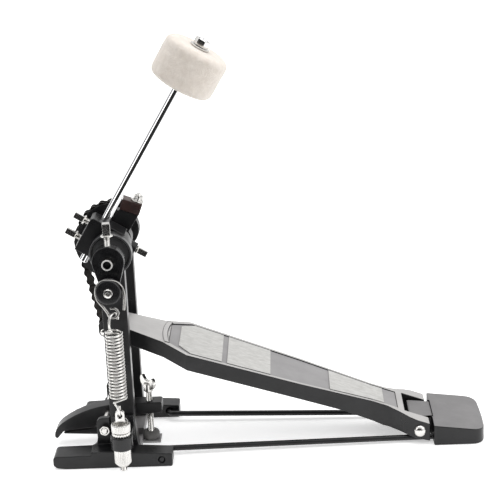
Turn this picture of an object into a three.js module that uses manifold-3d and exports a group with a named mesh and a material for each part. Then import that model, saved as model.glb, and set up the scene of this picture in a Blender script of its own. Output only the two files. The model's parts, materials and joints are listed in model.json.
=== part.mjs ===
// Single bass drum pedal with a chain drive, a side spring and a hoop clamp.
// Millimetres, +Z up. The origin is on the floor under the axle, halfway between the uprights.
// +X points to the player's heel, -X to the drum, and the spring side is -Y.

import * as THREE from "three";
import { mergeVertices } from "three/addons/utils/BufferGeometryUtils.js";
import Module from "manifold-3d";

const wasm = await Module();
wasm.setup();

// ---- Driving dimensions ----------------------------------------------------------------

const GAP = 0.3; // between touching pieces

const AXLE_Z = 198.4;
const AXLE_R = 5;
const AXLE_NEAR_Y = -75.5;
const AXLE_FAR_Y = 46;

const POST_IN = 34; // inner face of an upright, from the middle plane
const POST_OUT = 46;
const POST_X0 = -11;
const POST_X1 = 11.5;
const HOUSING_R = 19;
const BEARING_R = 13;

const RAIL_IN = 46.3;
const RAIL_OUT = 65;
const RAIL_X1 = 45.5;
const BRIDGE_TOP = 8;

const ROD_R = 2.65; // link rods between the rails and the heel plate
const ROD_HOLE = { x: 35.6, z: 6.7 };
const ROD_RAIL_Y = 40;
const ROD_HEEL = { x: 302, y: 27.5, z: 4.2 };

const CLAMP_Y = -4; // middle plane of the hoop clamp
const CLAMP_HALF = 8;
const CLAMP_PIVOT = { x: -16.4, z: 31.5 };
const CLAMP_SCREW_X = 21.7;

const SPRING_X = 2;
const SPRING_Y = -78;
const COIL_R = 8;
const COIL_WIRE_R = 1;
const COIL_Z0 = 73;
const COIL_Z1 = 139;
const EYE_Z = 57.5;
const RING_Z = 154.5; // eye of the stirrup

const ROLLER_Z = 175;
const ROLLER_Y = -77;
const ROLLER_R = 11.3;
const ROCKER_HUB_R = 14.3;

const CHAIN_Y = 5.75;
const CHAIN_HALF = 3.9;
const CHAIN_R = 34; // centre line of the chain on the cam
const CHAIN_PLATE_R = 3.55;
const CHAIN_PITCH = 8.31;
const CHAIN_LEAVES = 192 * Math.PI / 180; // where the hanging run starts, round the axle from +X
const WRAP_LINKS = 8;
const CAM_R = 35.5;
const DRUM_R = 28.4;

const BEATER_TILT = 31.3 * Math.PI / 180; // back from upright, at rest
const BEATER_Y = -18;
const BEATER_OFFSET = 17.5; // from the axle to the rod, across the rod
const BEATER_R = 4;
const FELT_R = 30;
const FELT_Z0 = 159; // along the rod, from the axle
const FELT_Z1 = 197.2;

const CLAMP_BLOCK_TILT = 21 * Math.PI / 180;

const HINGE = { x: 274.3, z: 13.9 };
const HINGE_PIN_R = 3;
const TOE_PIN = { x: -16, z: 110 };
const TREAD_SLOPE = 0.3575;
const treadZ = (x) => 63.3 + TREAD_SLOPE * (165 - x);
const SKIRT = 15.5; // depth of the footboard's sides
const WALL = 3.4;
const RECESS = 2; // depth of the tread's recess

const HEEL_X0 = 287;
const HEEL_X1 = 335;
const HEEL_HALF = 39.5;

// ---- Materials -------------------------------------------------------------------------

const finish = (color, roughness, metalness) => {
  return new THREE.MeshStandardMaterial({ color, roughness, metalness, flatShading: true });
};
const blackCasting = finish(0x1b1b1d, 0.5, 0.3);
const greyCasting = finish(0x8d8b8c, 0.55, 0.2);
const blackPlastic = finish(0x111112, 0.35, 0.0);
const zinc = finish(0xc9c9c4, 0.3, 1.0);
const chrome = finish(0xe6e6e8, 0.08, 1.0);
const chainSteel = finish(0x24221f, 0.4, 0.8);
const whiteFelt = finish(0xe9e5dc, 0.95, 0.0);
const redFelt = finish(0x4a1c1a, 0.9, 0.0);
const silverGrit = finish(0xd0cfcc, 0.7, 0.3);
const brownBlock = finish(0x2c1c1a, 0.5, 0.2);

// ---- Solids ----------------------------------------------------------------------------

const solidOf = (geometry) => {
  const bare = geometry.clone();
  bare.deleteAttribute("normal");
  bare.deleteAttribute("uv");
  const merged = mergeVertices(bare, 1e-4);
  const vertProperties = new Float32Array(merged.attributes.position.array);
  const triVerts = new Uint32Array(merged.index.array);
  return new wasm.Manifold(new wasm.Mesh({ numProp: 3, vertProperties, triVerts }));
};

const geometryOf = (solid) => {
  const mesh = solid.getMesh();
  const geometry = new THREE.BufferGeometry();
  geometry.setAttribute("position", new THREE.BufferAttribute(mesh.vertProperties, 3));
  geometry.setIndex(new THREE.BufferAttribute(mesh.triVerts, 1));
  return geometry;
};

const join = (...pieces) => geometryOf(pieces.map(solidOf).reduce((a, b) => a.add(b)));
const cut = (body, ...tools) => {
  return geometryOf(tools.map(solidOf).reduce((a, b) => a.subtract(b), solidOf(body)));
};
const common = (a, b) => geometryOf(solidOf(a).intersect(solidOf(b)));

const shapeOf = (points) => new THREE.Shape(points.map(([a, b]) => new THREE.Vector2(a, b)));

const box = (x0, x1, y0, y1, z0, z1) => {
  const block = new THREE.BoxGeometry(x1 - x0, y1 - y0, z1 - z0);
  return block.translate((x0 + x1) / 2, (y0 + y1) / 2, (z0 + z1) / 2);
};

// An outline in X and Z, made thick along Y.
const slabXZ = (shape, y0, y1, curveSegments = 8) => {
  const slab = new THREE.ExtrudeGeometry(shape, { depth: y1 - y0, bevelEnabled: false, curveSegments });
  return slab.rotateX(Math.PI / 2).translate(0, y1, 0);
};

// An outline in X and Y, made thick along Z.
const slabXY = (shape, z0, z1, curveSegments = 8) => {
  const slab = new THREE.ExtrudeGeometry(shape, { depth: z1 - z0, bevelEnabled: false, curveSegments });
  return slab.translate(0, 0, z0);
};

const rodY = (x, z, r, y0, y1, sides = 20) => {
  return new THREE.CylinderGeometry(r, r, y1 - y0, sides).translate(x, (y0 + y1) / 2, z);
};
const rodZ = (x, y, r, z0, z1, sides = 20) => {
  const rod = new THREE.CylinderGeometry(r, r, z1 - z0, sides).rotateX(Math.PI / 2);
  return rod.translate(x, y, (z0 + z1) / 2);
};
const rodBetween = (from, to, r, sides) => {
  const along = to.clone().sub(from);
  const rod = new THREE.CylinderGeometry(r, r, along.length(), sides);
  const turn = new THREE.Quaternion().setFromUnitVectors(
    new THREE.Vector3(0, 1, 0), along.clone().normalize(),
  );
  const middle = from.clone().add(to).multiplyScalar(0.5);
  return rod.applyQuaternion(turn).translate(middle.x, middle.y, middle.z);
};
const rodX = (y, z, r, x0, x1, sides = 16) => {
  const rod = new THREE.CylinderGeometry(r, r, x1 - x0, sides).rotateZ(Math.PI / 2);
  return rod.translate((x0 + x1) / 2, y, z);
};

// Turned pieces: the profile gives [radius, place along the axis], anticlockwise.
const turned = (profile, sides) => {
  return new THREE.LatheGeometry(profile.map(([r, h]) => new THREE.Vector2(r, h)), sides);
};
const turnedY = (profile, x, z, sides = 24) => turned(profile, sides).translate(x, 0, z);
const turnedZ = (profile, x, y, sides = 20) => {
  return turned(profile, sides).rotateX(Math.PI / 2).translate(x, y, 0);
};
const ringProfile = (r0, r1, h0, h1) => [[r0, h0], [r1, h0], [r1, h1], [r0, h1], [r0, h0]];

const wire = (points, r, steps, sides = 6) => {
  const path = new THREE.CatmullRomCurve3(points.map(([x, y, z]) => new THREE.Vector3(x, y, z)));
  const section = shapeOf(arcPoints(r, 0, 2 * Math.PI, sides).slice(1));
  return new THREE.ExtrudeGeometry(section, { steps, extrudePath: path });
};

const arcPoints = (r, from, to, count) => {
  return Array.from({ length: count + 1 }, (_, i) => {
    const a = from + (to - from) * i / count;
    return [r * Math.cos(a), r * Math.sin(a)];
  });
};

// A drum-key bolt along +Z: a square head, its flange and a plain shank, from the flange's seat.
const keyBolt = (shankLength, flangeR, headSide, headLength) => join(
  rodZ(0, 0, 2.6, -shankLength, 0.5, 12),
  rodZ(0, 0, flangeR, 0, 1.8, 16),
  box(-headSide / 2, headSide / 2, -headSide / 2, headSide / 2, 1.5, 1.8 + headLength),
);

// ---- Scene graph -----------------------------------------------------------------------

const pedal = new THREE.Group();

const add = (parent, name, geometry, material) => {
  const mesh = new THREE.Mesh(geometry, material);
  mesh.name = name;
  parent.add(mesh);
  return mesh;
};

const turnedGroup = (tilt) => {
  const group = new THREE.Group();
  group.position.set(0, 0, AXLE_Z);
  group.rotation.y = tilt;
  pedal.add(group);
  return group;
};

// The two sides of the pedal mirror each other, so a span is given as distances from the middle.
const SIDES = { near: -1, far: 1 };
const span = (side, inner, outer) => [side * inner, side * outer].sort((a, b) => a - b);

// ---- Base: rails, bridge, jaw and uprights ---------------------------------------------

const makeRail = (side) => {
  const [y0, y1] = span(side, RAIL_IN, RAIL_OUT);
  const tip = side < 0 ? -64 : -48;
  const toe = [
    [tip + 12, 0], [tip + 3, 1.2], [tip, 4], [tip, 10.5], [tip + 1.5, 12.3], [tip + 4, 12.8], [-29, 13.2],
  ];
  const bar = shapeOf([
    ...toe, [-28.8, 16.3], [-13, 16.3], [44.7, 12.6], [RAIL_X1, 11.8], [RAIL_X1, 1], [44.5, 0],
  ]);
  const ear = shapeOf([
    ...toe, [-25, 17], [-24, 22], [-24, 38], [-22, 41], [-19, 42], [-11.4, 42], [-11.4, 8.6],
    [-14.4, 8.6], [-14.4, 0],
  ]);
  return cut(
    join(slabXZ(bar, y0, y1), slabXZ(ear, ...span(side, 41, 47))),
    rodY(ROD_HOLE.x, ROD_HOLE.z, ROD_R + 0.5, y0 - 1, y1 + 1, 16),
    rodY(CLAMP_PIVOT.x, CLAMP_PIVOT.z, 3.4, ...span(side, 40, 48), 16),
  );
};

const makeUpright = (side) => {
  const column = shapeOf([
    [POST_X0, BRIDGE_TOP + GAP], [14, BRIDGE_TOP + GAP], [13.4, 14], [12, 24], [POST_X1, 36],
    [POST_X1, AXLE_Z], [POST_X0, AXLE_Z],
  ]);
  const outer = span(side, POST_IN, POST_OUT);
  const body = join(slabXZ(column, ...outer), rodY(0, AXLE_Z, HOUSING_R, ...outer, 32));
  const pocket = box(-5, 3, ...span(side, POST_IN - 1, POST_IN + 1.6), 34, 172);
  const screwY = side * (POST_IN + POST_OUT) / 2;
  return cut(
    body,
    rodY(0, AXLE_Z, BEARING_R + GAP, ...span(side, POST_IN + 1.8, POST_OUT + 1), 32),
    rodY(0, AXLE_Z, 16.4, ...span(side, POST_OUT - 3.5, POST_OUT + 1), 32),
    rodY(0, AXLE_Z, AXLE_R + 2.5, ...span(side, POST_IN - 1, POST_IN + 3), 24),
    pocket,
    rodY(SPRING_X, 40, 2.8, -48, -39, 12),
    rodZ(0, screwY, 3.3, BRIDGE_TOP, 24, 12),
  );
};

const makeBridge = () => {
  const plate = join(box(-14, 14, -46, 46, 0, BRIDGE_TOP), box(12, 31, -13, 5, 0, 2));
  const screwY = (POST_IN + POST_OUT) / 2;
  return cut(
    plate,
    box(8.2, 15, -13.5, 5.5, 2, BRIDGE_TOP + 1),
    rodZ(0, -screwY, 3.3, -1, BRIDGE_TOP + 1, 12),
    rodZ(0, screwY, 3.3, -1, BRIDGE_TOP + 1, 12),
    rodZ(0, -screwY, 5.8, -1, 4.5, 16),
    rodZ(0, screwY, 5.8, -1, 4.5, 16),
    rodZ(-4, CLAMP_Y, 2.8, 3, BRIDGE_TOP + 1, 12),
  );
};

const makeJaw = () => {
  const side = shapeOf([
    [-60.5, 12.3], [-14, 10], [-14, BRIDGE_TOP + GAP], [6, BRIDGE_TOP + GAP], [6, 12.6],
    [-12, 15.6], [-34, 15.6], [-60.5, 13.6],
  ]);
  const tongue = slabXZ(side, CLAMP_Y - CLAMP_HALF, CLAMP_Y + CLAMP_HALF);
  return cut(tongue, rodZ(-4, CLAMP_Y, 2.8, 7, 20, 12), rodZ(-4, CLAMP_Y, 4.8, 11.2, 20, 16));
};

const makeRailRod = (side) => {
  const bend = 5;
  const start = new THREE.Vector3(ROD_HEEL.x, side * ROD_HEEL.y, ROD_HEEL.z);
  const last = new THREE.Vector3(ROD_HOLE.x + bend + 1, side * ROD_RAIL_Y, ROD_HOLE.z);
  const dive = last.clone().sub(start).normalize().multiplyScalar(2).add(last);
  const curl = wire([
    last.toArray(), dive.toArray(),
    [ROD_HOLE.x + 0.8, side * (ROD_RAIL_Y + 2.2), ROD_HOLE.z],
    [ROD_HOLE.x, side * (ROD_RAIL_Y + bend + 1), ROD_HOLE.z],
    [ROD_HOLE.x, side * (RAIL_OUT - 1), ROD_HOLE.z],
  ], ROD_R, 14, 10);
  return join(rodBetween(start, dive, ROD_R, 12), curl);
};

for (const [name, side] of Object.entries(SIDES)) {
  const screwY = side * (POST_IN + POST_OUT) / 2;
  add(pedal, `foot_rail_${name}`, makeRail(side), blackCasting);
  add(pedal, `upright_${name}`, makeUpright(side), blackCasting);
  const screw = join(rodZ(0, screwY, 3, 3, 22, 12), rodZ(0, screwY, 5.2, 0.6, 4.2, 16));
  add(pedal, `upright_screw_${name}`, screw, zinc);
  const [b0, b1] = span(side, POST_IN + 2.2, POST_OUT - 3.8);
  const race = ringProfile(AXLE_R + GAP, BEARING_R, b0, b1);
  add(pedal, `bearing_${name}`, turnedY(race, 0, AXLE_Z, 24), zinc);
  add(pedal, `link_rod_${name}`, makeRailRod(side), blackCasting);
}
add(pedal, "base_bridge", makeBridge(), greyCasting);
add(pedal, "lower_jaw", makeJaw(), blackCasting);
const jawScrew = join(rodZ(-4, CLAMP_Y, 2.5, 3.6, 12, 12), rodZ(-4, CLAMP_Y, 4.4, 11.5, 14.2, 16));
add(pedal, "jaw_screw", jawScrew, zinc);

// ---- Hoop clamp: lever on its pivot, screw and foot ------------------------------------

const makeLever = () => {
  const side = new THREE.Shape();
  side.moveTo(-69.3, 8.6);
  side.quadraticCurveTo(-70.2, 15.8, -62, 22.6);
  side.quadraticCurveTo(-43.5, 36, -17, 40);
  side.lineTo(-8, 41);
  side.lineTo(33, 41);
  side.lineTo(34, 40);
  side.lineTo(34, 31);
  side.lineTo(30, 30);
  side.lineTo(16, 29.5);
  side.lineTo(-6, 24);
  side.lineTo(-24, 20.5);
  side.lineTo(-34.5, 17.6);
  side.lineTo(-60.6, 14.6);
  side.lineTo(-67, 7.4);
  return cut(
    slabXZ(side, CLAMP_Y - CLAMP_HALF, CLAMP_Y + CLAMP_HALF, 6),
    rodY(CLAMP_PIVOT.x, CLAMP_PIVOT.z, 3.4, -15, 8, 16),
    rodZ(CLAMP_SCREW_X, CLAMP_Y, 3.4, 25, 45, 16),
  );
};

const makeWingScrew = () => {
  const wing = new THREE.Shape();
  wing.moveTo(-10.5, 56);
  wing.lineTo(-3, 51);
  wing.lineTo(3, 51);
  wing.lineTo(10.5, 56);
  wing.quadraticCurveTo(12, 64, 7.5, 65);
  wing.quadraticCurveTo(4, 61, 0, 61);
  wing.quadraticCurveTo(-4, 61, -7.5, 65);
  wing.quadraticCurveTo(-12, 64, -10.6, 57);
  const blade = slabXZ(wing, -1.8, 1.8, 4).rotateZ(-0.9).translate(CLAMP_SCREW_X, CLAMP_Y, 0);
  return join(
    rodZ(CLAMP_SCREW_X, CLAMP_Y, 3, 5.4, 52, 16),
    rodZ(CLAMP_SCREW_X, CLAMP_Y, 4.6, 50, 58, 16),
    blade,
  );
};

const footProfile = [
  [0, 2.3], [6.6, 2.3], [8, 3.6], [8, 7.4], [7.2, 9.4], [5.6, 10.2], [4.1, 10.2], [4.1, 4.4], [0, 4.4],
];
add(pedal, "clamp_lever", makeLever(), blackCasting);
add(pedal, "clamp_screw", makeWingScrew(), zinc);
add(pedal, "clamp_foot", turnedZ(footProfile, CLAMP_SCREW_X, CLAMP_Y), blackPlastic);

const pivotBolt = join(
  rodY(CLAMP_PIVOT.x, CLAMP_PIVOT.z, 3, -54, 49, 16),
  rodY(CLAMP_PIVOT.x, CLAMP_PIVOT.z, 4.9, 47.3, 51.5, 6),
);
const pivotNut = cut(
  rodY(CLAMP_PIVOT.x, CLAMP_PIVOT.z, 4.9, -52.3, -47.3, 6),
  rodY(CLAMP_PIVOT.x, CLAMP_PIVOT.z, 3.3, -53, -47, 16),
);
const sleeve = (y0, y1) => {
  return turnedY(ringProfile(3.4, 5, y0, y1), CLAMP_PIVOT.x, CLAMP_PIVOT.z, 12);
};
add(pedal, "clamp_pivot_bolt", pivotBolt, zinc);
add(pedal, "clamp_pivot_nut", pivotNut, zinc);
add(pedal, "clamp_sleeve_near", sleeve(-40.7, CLAMP_Y - CLAMP_HALF - 0.4), zinc);
add(pedal, "clamp_sleeve_far", sleeve(CLAMP_Y + CLAMP_HALF + 0.4, 40.7), zinc);

// ---- Spring: bracket, eye bolt and nuts, coil, hooks and stirrup -----------------------

const makeBracket = () => {
  const arm = join(
    box(-8, 11, -50, -POST_OUT - GAP, 20, 45),
    box(-6, 10, -72, -48, 26, 34),
    rodZ(SPRING_X, SPRING_Y, 10, 26, 38.1, 24),
  );
  return cut(
    arm,
    rodZ(SPRING_X, SPRING_Y, 3.4, 25, 39, 16),
    rodY(SPRING_X, 40, 2.8, -51, -45, 12),
  );
};

const makeEyeBolt = () => {
  const thick = 1.5;
  const plate = new THREE.Shape();
  plate.moveTo(SPRING_X - 4.25, 48);
  plate.lineTo(SPRING_X + 4.25, 48);
  plate.absarc(SPRING_X, 59, 4.25, 0, Math.PI);
  return cut(
    join(slabXZ(plate, SPRING_Y - thick, SPRING_Y + thick), rodZ(SPRING_X, SPRING_Y, 3, 3.6, 49, 16)),
    rodY(SPRING_X, EYE_Z, 2.4, SPRING_Y - 3, SPRING_Y + 3, 12),
  );
};

const cupNutProfile = [
  [3.4, 42.3], [8.2, 42.3], [8.7, 42.9], [8.7, 49.4], [8.2, 50], [7, 50], [7, 47], [3.4, 47], [3.4, 42.3],
];
const tensionNutProfile = [
  [3.4, 9], [5.4, 9], [7.7, 12], [7.7, 25], [7.2, 25.7], [3.4, 25.7], [3.4, 9],
];
add(pedal, "spring_bracket", makeBracket(), blackPlastic);
add(pedal, "bracket_screw", join(
  rodY(SPRING_X, 40, 2.5, -51, -40, 12),
  rodY(SPRING_X, 40, 4.2, -52.8, -50.3, 16),
), zinc);
add(pedal, "spring_eye_bolt", makeEyeBolt(), zinc);
add(pedal, "tension_cup_nut", turnedZ(cupNutProfile, SPRING_X, SPRING_Y), zinc);
add(pedal, "serrated_washer", turnedZ(ringProfile(3.4, 8.3, 38.4, 42), SPRING_X, SPRING_Y), zinc);
add(pedal, "tension_nut", turnedZ(tensionNutProfile, SPRING_X, SPRING_Y), zinc);

const coilProfile = ringProfile(COIL_R - 2 * COIL_WIRE_R, COIL_R, COIL_Z0, COIL_Z1);
const hookWire = (points) => {
  return wire(points.map(([y, z]) => [SPRING_X, SPRING_Y + y, z]), COIL_WIRE_R, 22);
};
add(pedal, "spring_coil", turnedZ(coilProfile, SPRING_X, SPRING_Y), zinc);
add(pedal, "spring_hook_lower", hookWire([
  [0, COIL_Z0 - 0.4], [-1.6, 68], [-3.1, 63], [-2.5, 59.2], [0, EYE_Z + 0.1], [2.5, 59.2],
  [3.1, 63], [2.4, 66],
]), zinc);
const HOOK_TURN = 55 * Math.PI / 180; // the upper hook's plane, turned from the pedal's side view
add(pedal, "spring_hook_upper", wire([
  [0, COIL_Z1 + 0.4], [-3, 142], [-4.8, 146], [-4.6, 150.2], [-2.2, 153.4], [1.6, 154.6], [5, 153.2],
  [6.8, 150], [6.6, 147.5],
].map(([out, z]) => {
  return [SPRING_X + out * Math.cos(HOOK_TURN), SPRING_Y + out * Math.sin(HOOK_TURN), z];
}), COIL_WIRE_R, 22), zinc);

const makeStirrup = () => {
  const bow = [
    [12.4, 157.6], [13.2, 165], [13.3, 172], [11.8, 178.6], [8.4, 182.8], [4.4, 184.5], [0, 185.1],
    [-4.4, 184.8], [-8.4, 182.4], [-10.9, 177.9], [-11.4, 172], [-9.8, 166.5], [-5.4, 160.4],
  ];
  const ring = arcPoints(4.4, Math.PI, 2.65 * Math.PI, 9);
  return wire([
    ...bow.map(([x, z]) => [x, ROLLER_Y, z]),
    ...ring.map(([x, z], i) => [2.6 + x, ROLLER_Y + 0.12 * i, RING_Z + z]),
  ], 1.2, 50);
};
add(pedal, "spring_stirrup", makeStirrup(), zinc);

// ---- Axle and what turns with it -------------------------------------------------------

const makeAxle = () => cut(
  rodY(0, AXLE_Z, AXLE_R, AXLE_NEAR_Y, AXLE_FAR_Y, 24),
  rodY(0, AXLE_Z, 3.6, AXLE_NEAR_Y - 1, AXLE_NEAR_Y + 4, 16),
);
add(pedal, "axle", makeAxle(), zinc);

const makeRocker = () => {
  const drop = AXLE_Z - ROLLER_Z;
  const low = 8;
  const lean = Math.asin((ROCKER_HUB_R - low) / drop);
  const side = new THREE.Shape();
  side.absarc(0, AXLE_Z, ROCKER_HUB_R, -lean, Math.PI + lean);
  side.absarc(0, ROLLER_Z, low, Math.PI + lean, 2 * Math.PI - lean);
  return cut(
    slabXZ(side, -68, -56, 10),
    rodY(0, AXLE_Z, AXLE_R + GAP, -69, -55, 24),
    rodY(0, ROLLER_Z, 3.3, -69, -55, 16),
    rodZ(0, -62, 3, AXLE_Z + 4, AXLE_Z + 20, 12),
  );
};
add(pedal, "spring_rocker", makeRocker(), blackPlastic);
const rockerBolt = keyBolt(14, 5.4, 7, 10.5);
add(pedal, "rocker_key_bolt", rockerBolt, zinc).position.set(0, -62, AXLE_Z + 22.4);
add(pedal, "roller_bolt", join(
  rodY(0, ROLLER_Z, 3, -82, -57, 16),
  rodY(0, ROLLER_Z, 4.8, -72.2, -68.3, 16),
  rodY(0, ROLLER_Z, 4.5, -84.6, -81.8, 20),
), zinc);
const rollerProfile = [
  [3.4, -81.5], [10.4, -81.5], [ROLLER_R, -80.9], [ROLLER_R, -79.7], [6.8, -78.9], [6.8, -75.1],
  [ROLLER_R, -74.3], [ROLLER_R, -73.1], [10.4, -72.5], [3.4, -72.5], [3.4, -81.5],
];
add(pedal, "roller", turnedY(rollerProfile, 0, ROLLER_Z, 24), blackPlastic);

// The chain clamp's frame: its Z is square to the clamped block's top.
const clampFrame = turnedGroup(CLAMP_BLOCK_TILT);
const BLOCK = { x0: -5.2, x1: 13.5, y0: -1.2, y1: 12.7, z0: 29.7, z1: 40.2 };
const STUD_X = 8;
const HUB_BOSS = 20.6; // how far the hub bolt's boss stands out from the axle

const sector = (r, from, to, y0, y1) => {
  return slabXZ(shapeOf([[0, 0], ...arcPoints(r, from, to, 24)]), y0, y1);
};

// Both flanges are level with the chain where it winds on, and taller where it hangs free.
const makeCam = () => {
  const turn = (degrees) => degrees * Math.PI / 180 + CLAMP_BLOCK_TILT;
  const [from, to] = [turn(84), turn(262)];
  const rim = [
    ...arcPoints(CAM_R, from, turn(160), 12),
    ...arcPoints(CAM_R + 2.6, turn(180), turn(236), 9),
    ...arcPoints(CAM_R + 1, turn(250), to, 3),
  ];
  const flange = shapeOf([[0, 0], ...rim]);
  const bossTurn = BEATER_TILT - CLAMP_BLOCK_TILT;
  const arm = shapeOf([[-14, 0], [9, 0], [9.5, 13], [13.2, BLOCK.z0 - GAP], [-5, BLOCK.z0 - GAP]]);
  return cut(
    join(
      slabXZ(flange, 0.2, 1.6),
      sector(DRUM_R, from, to, 1, 10.5),
      slabXZ(flange, 9.9, 11.5),
      slabXZ(arm, 0.2, 11.5),
      rodY(0, 0, 15, 0, 15, 28),
      rodX(CHAIN_Y, 0, 5.6, 8, HUB_BOSS, 20).rotateY(bossTurn),
    ),
    rodY(0, 0, AXLE_R + GAP, -2, 17, 24),
    rodX(CHAIN_Y, 0, 3, 4, HUB_BOSS + 1).rotateY(bossTurn),
    rodZ(STUD_X, CHAIN_Y, 2.9, 18, 45, 12),
  );
};
add(clampFrame, "cam", makeCam(), blackCasting);

const makeClampBlock = () => cut(
  box(BLOCK.x0, BLOCK.x1, BLOCK.y0, BLOCK.y1, BLOCK.z0, BLOCK.z1),
  box(BLOCK.x0 - 1, 4.5, CHAIN_Y - CHAIN_HALF - 0.4, CHAIN_Y + CHAIN_HALF + 0.4, 28, 37.9),
  rodZ(STUD_X, CHAIN_Y, 2.9, 28, 42, 12),
);
add(clampFrame, "chain_clamp", makeClampBlock(), brownBlock);
add(clampFrame, "chain_clamp_stud", rodZ(STUD_X, CHAIN_Y, 2.5, 18.5, 48, 12), zinc);
add(clampFrame, "chain_clamp_nut", cut(
  join(rodZ(STUD_X, CHAIN_Y, 6, 40.5, 41.7, 16), rodZ(STUD_X, CHAIN_Y, 4.8, 41, 45.8, 6)),
  rodZ(STUD_X, CHAIN_Y, 2.8, 40, 47, 12),
), zinc);

const feltSector = (() => {
  const from = 98 * Math.PI / 180 + CLAMP_BLOCK_TILT;
  const to = 195 * Math.PI / 180 + CLAMP_BLOCK_TILT;
  const inside = arcPoints(DRUM_R + GAP, to, from, 16);
  return slabXZ(shapeOf([...arcPoints(30.1, from, to, 16), ...inside]), 1.9, 9.6);
})();
add(clampFrame, "cam_felt", feltSector, redFelt);

// A chain as one body: a roller at each pin, and plates on both sides with a waist between pins.
const makeChain = (pins) => {
  const outer = CHAIN_Y + CHAIN_HALF;
  const inner = CHAIN_Y - CHAIN_HALF;
  const rollers = pins.map(([x, z]) => rodY(x, z, 2.6, inner + 0.2, outer - 0.2, 8));
  const links = pins.slice(1).map(([x, z], i) => {
    const [px, pz] = pins[i];
    const length = Math.hypot(x - px, z - pz);
    const r = CHAIN_PLATE_R;
    const plate = new THREE.Shape();
    plate.moveTo(0, -r);
    plate.quadraticCurveTo(length / 2, -r * 0.45, length, -r);
    plate.absarc(length, 0, r, -Math.PI / 2, Math.PI / 2);
    plate.quadraticCurveTo(length / 2, r * 0.45, 0, r);
    plate.absarc(0, 0, r, Math.PI / 2, 1.5 * Math.PI);
    const step = i % 2 ? 0.9 : 0;
    const pair = [
      slabXZ(plate, inner + step, inner + step + 1.1, 2),
      slabXZ(plate, outer - step - 1.1, outer - step, 2),
    ];
    const turn = Math.atan2(z - pz, x - px);
    return pair.map((one) => one.rotateY(-turn).translate(px, 0, pz));
  });
  return join(...rollers, ...links.flat());
};

const wrapPins = Array.from({ length: WRAP_LINKS + 1 }, (_, i) => {
  const a = CHAIN_LEAVES - (i + 0.12) * 2 * Math.asin(CHAIN_PITCH / 2 / CHAIN_R);
  return [CHAIN_R * Math.cos(a), AXLE_Z + CHAIN_R * Math.sin(a)];
}).slice(1);
add(pedal, "chain_wrap", makeChain(wrapPins), chainSteel);

// The beater's frame: its Z runs up the rod.
const beaterFrame = turnedGroup(BEATER_TILT);

const KEY_BOLT_Z = [9.4, -7.2];

const makeHolder = () => {
  const block = shapeOf([[-30, -16], [-2, -16], [4, 18], [-28, 18], [-30, 16]]);
  return cut(
    join(slabXZ(block, -30, -8), rodY(0, 0, 16, -30, -8, 28), rodY(0, 0, 12.5, -29, -0.2, 24)),
    rodY(0, 0, AXLE_R + GAP, -31, 1, 24),
    rodZ(-BEATER_OFFSET, BEATER_Y, BEATER_R + GAP, -20, 20, 20),
    rodX(BEATER_Y, KEY_BOLT_Z[0], 3, -32, -BEATER_OFFSET),
    rodX(BEATER_Y, KEY_BOLT_Z[1], 3, -32, -BEATER_OFFSET),
  );
};
add(beaterFrame, "beater_holder", makeHolder(), blackCasting);

const placeKeyBolt = (name, x, y, z, shank) => {
  const bolt = add(beaterFrame, name, keyBolt(shank, 4.4, 5.6, 9.2), zinc);
  bolt.position.set(x, y, z);
  bolt.rotation.y = Math.sign(x) * Math.PI / 2;
};
placeKeyBolt("rod_key_bolt_upper", -33.4, BEATER_Y, KEY_BOLT_Z[0], 11.2);
placeKeyBolt("rod_key_bolt_lower", -33.4, BEATER_Y, KEY_BOLT_Z[1], 11.2);
placeKeyBolt("hub_key_bolt", HUB_BOSS + 0.7, CHAIN_Y, 0, 15);

const onRod = (geometry) => geometry.translate(-BEATER_OFFSET, BEATER_Y, 0);
add(beaterFrame, "beater_rod", onRod(rodZ(0, 0, BEATER_R, -25.8, 206.5, 20)), chrome);

const makeFelt = () => {
  const round = 7;
  const bore = BEATER_R + 0.4;
  const side = new THREE.Shape();
  side.moveTo(bore, FELT_Z0);
  side.lineTo(FELT_R - round, FELT_Z0);
  side.absarc(FELT_R - round, FELT_Z0 + round, round, -Math.PI / 2, 0);
  side.absarc(FELT_R - round, FELT_Z1 - round, round, 0, Math.PI / 2);
  side.lineTo(bore, FELT_Z1);
  const profile = side.getPoints(3).map((p) => [p.x, p.y]);
  return turnedZ([...profile, profile[0]], 0, 0, 28);
};
add(beaterFrame, "beater_felt", onRod(makeFelt()), whiteFelt);
const rodWasher = (z0, z1, r) => turnedZ(ringProfile(BEATER_R + 0.3, r, z0, z1), 0, 0, 20);
add(beaterFrame, "felt_washer_lower", onRod(rodWasher(FELT_Z0 - 3.4, FELT_Z0 - GAP, 7)), zinc);
add(beaterFrame, "felt_washer_upper", onRod(rodWasher(FELT_Z1 + GAP, FELT_Z1 + 1.8, 9)), zinc);
add(beaterFrame, "felt_nut", onRod(cut(
  rodZ(0, 0, 7.2, FELT_Z1 + 2.1, FELT_Z1 + 8, 6),
  rodZ(0, 0, BEATER_R + 0.3, FELT_Z1, FELT_Z1 + 10, 16),
)), zinc);

// ---- Hanging chain and footboard -------------------------------------------------------

const leavePoint = [
  CHAIN_R * Math.cos(CHAIN_LEAVES), AXLE_Z + CHAIN_R * Math.sin(CHAIN_LEAVES),
];
const runLength = Math.hypot(TOE_PIN.x - leavePoint[0], TOE_PIN.z - leavePoint[1]);
const runPins = Array.from({ length: 10 }, (_, i) => {
  const t = (0.02 + i * CHAIN_PITCH * 0.987) / runLength;
  return [
    leavePoint[0] + (TOE_PIN.x - leavePoint[0]) * t,
    leavePoint[1] + (TOE_PIN.z - leavePoint[1]) * t,
  ];
});
add(pedal, "chain_run", makeChain(runPins), chainSteel);

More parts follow.
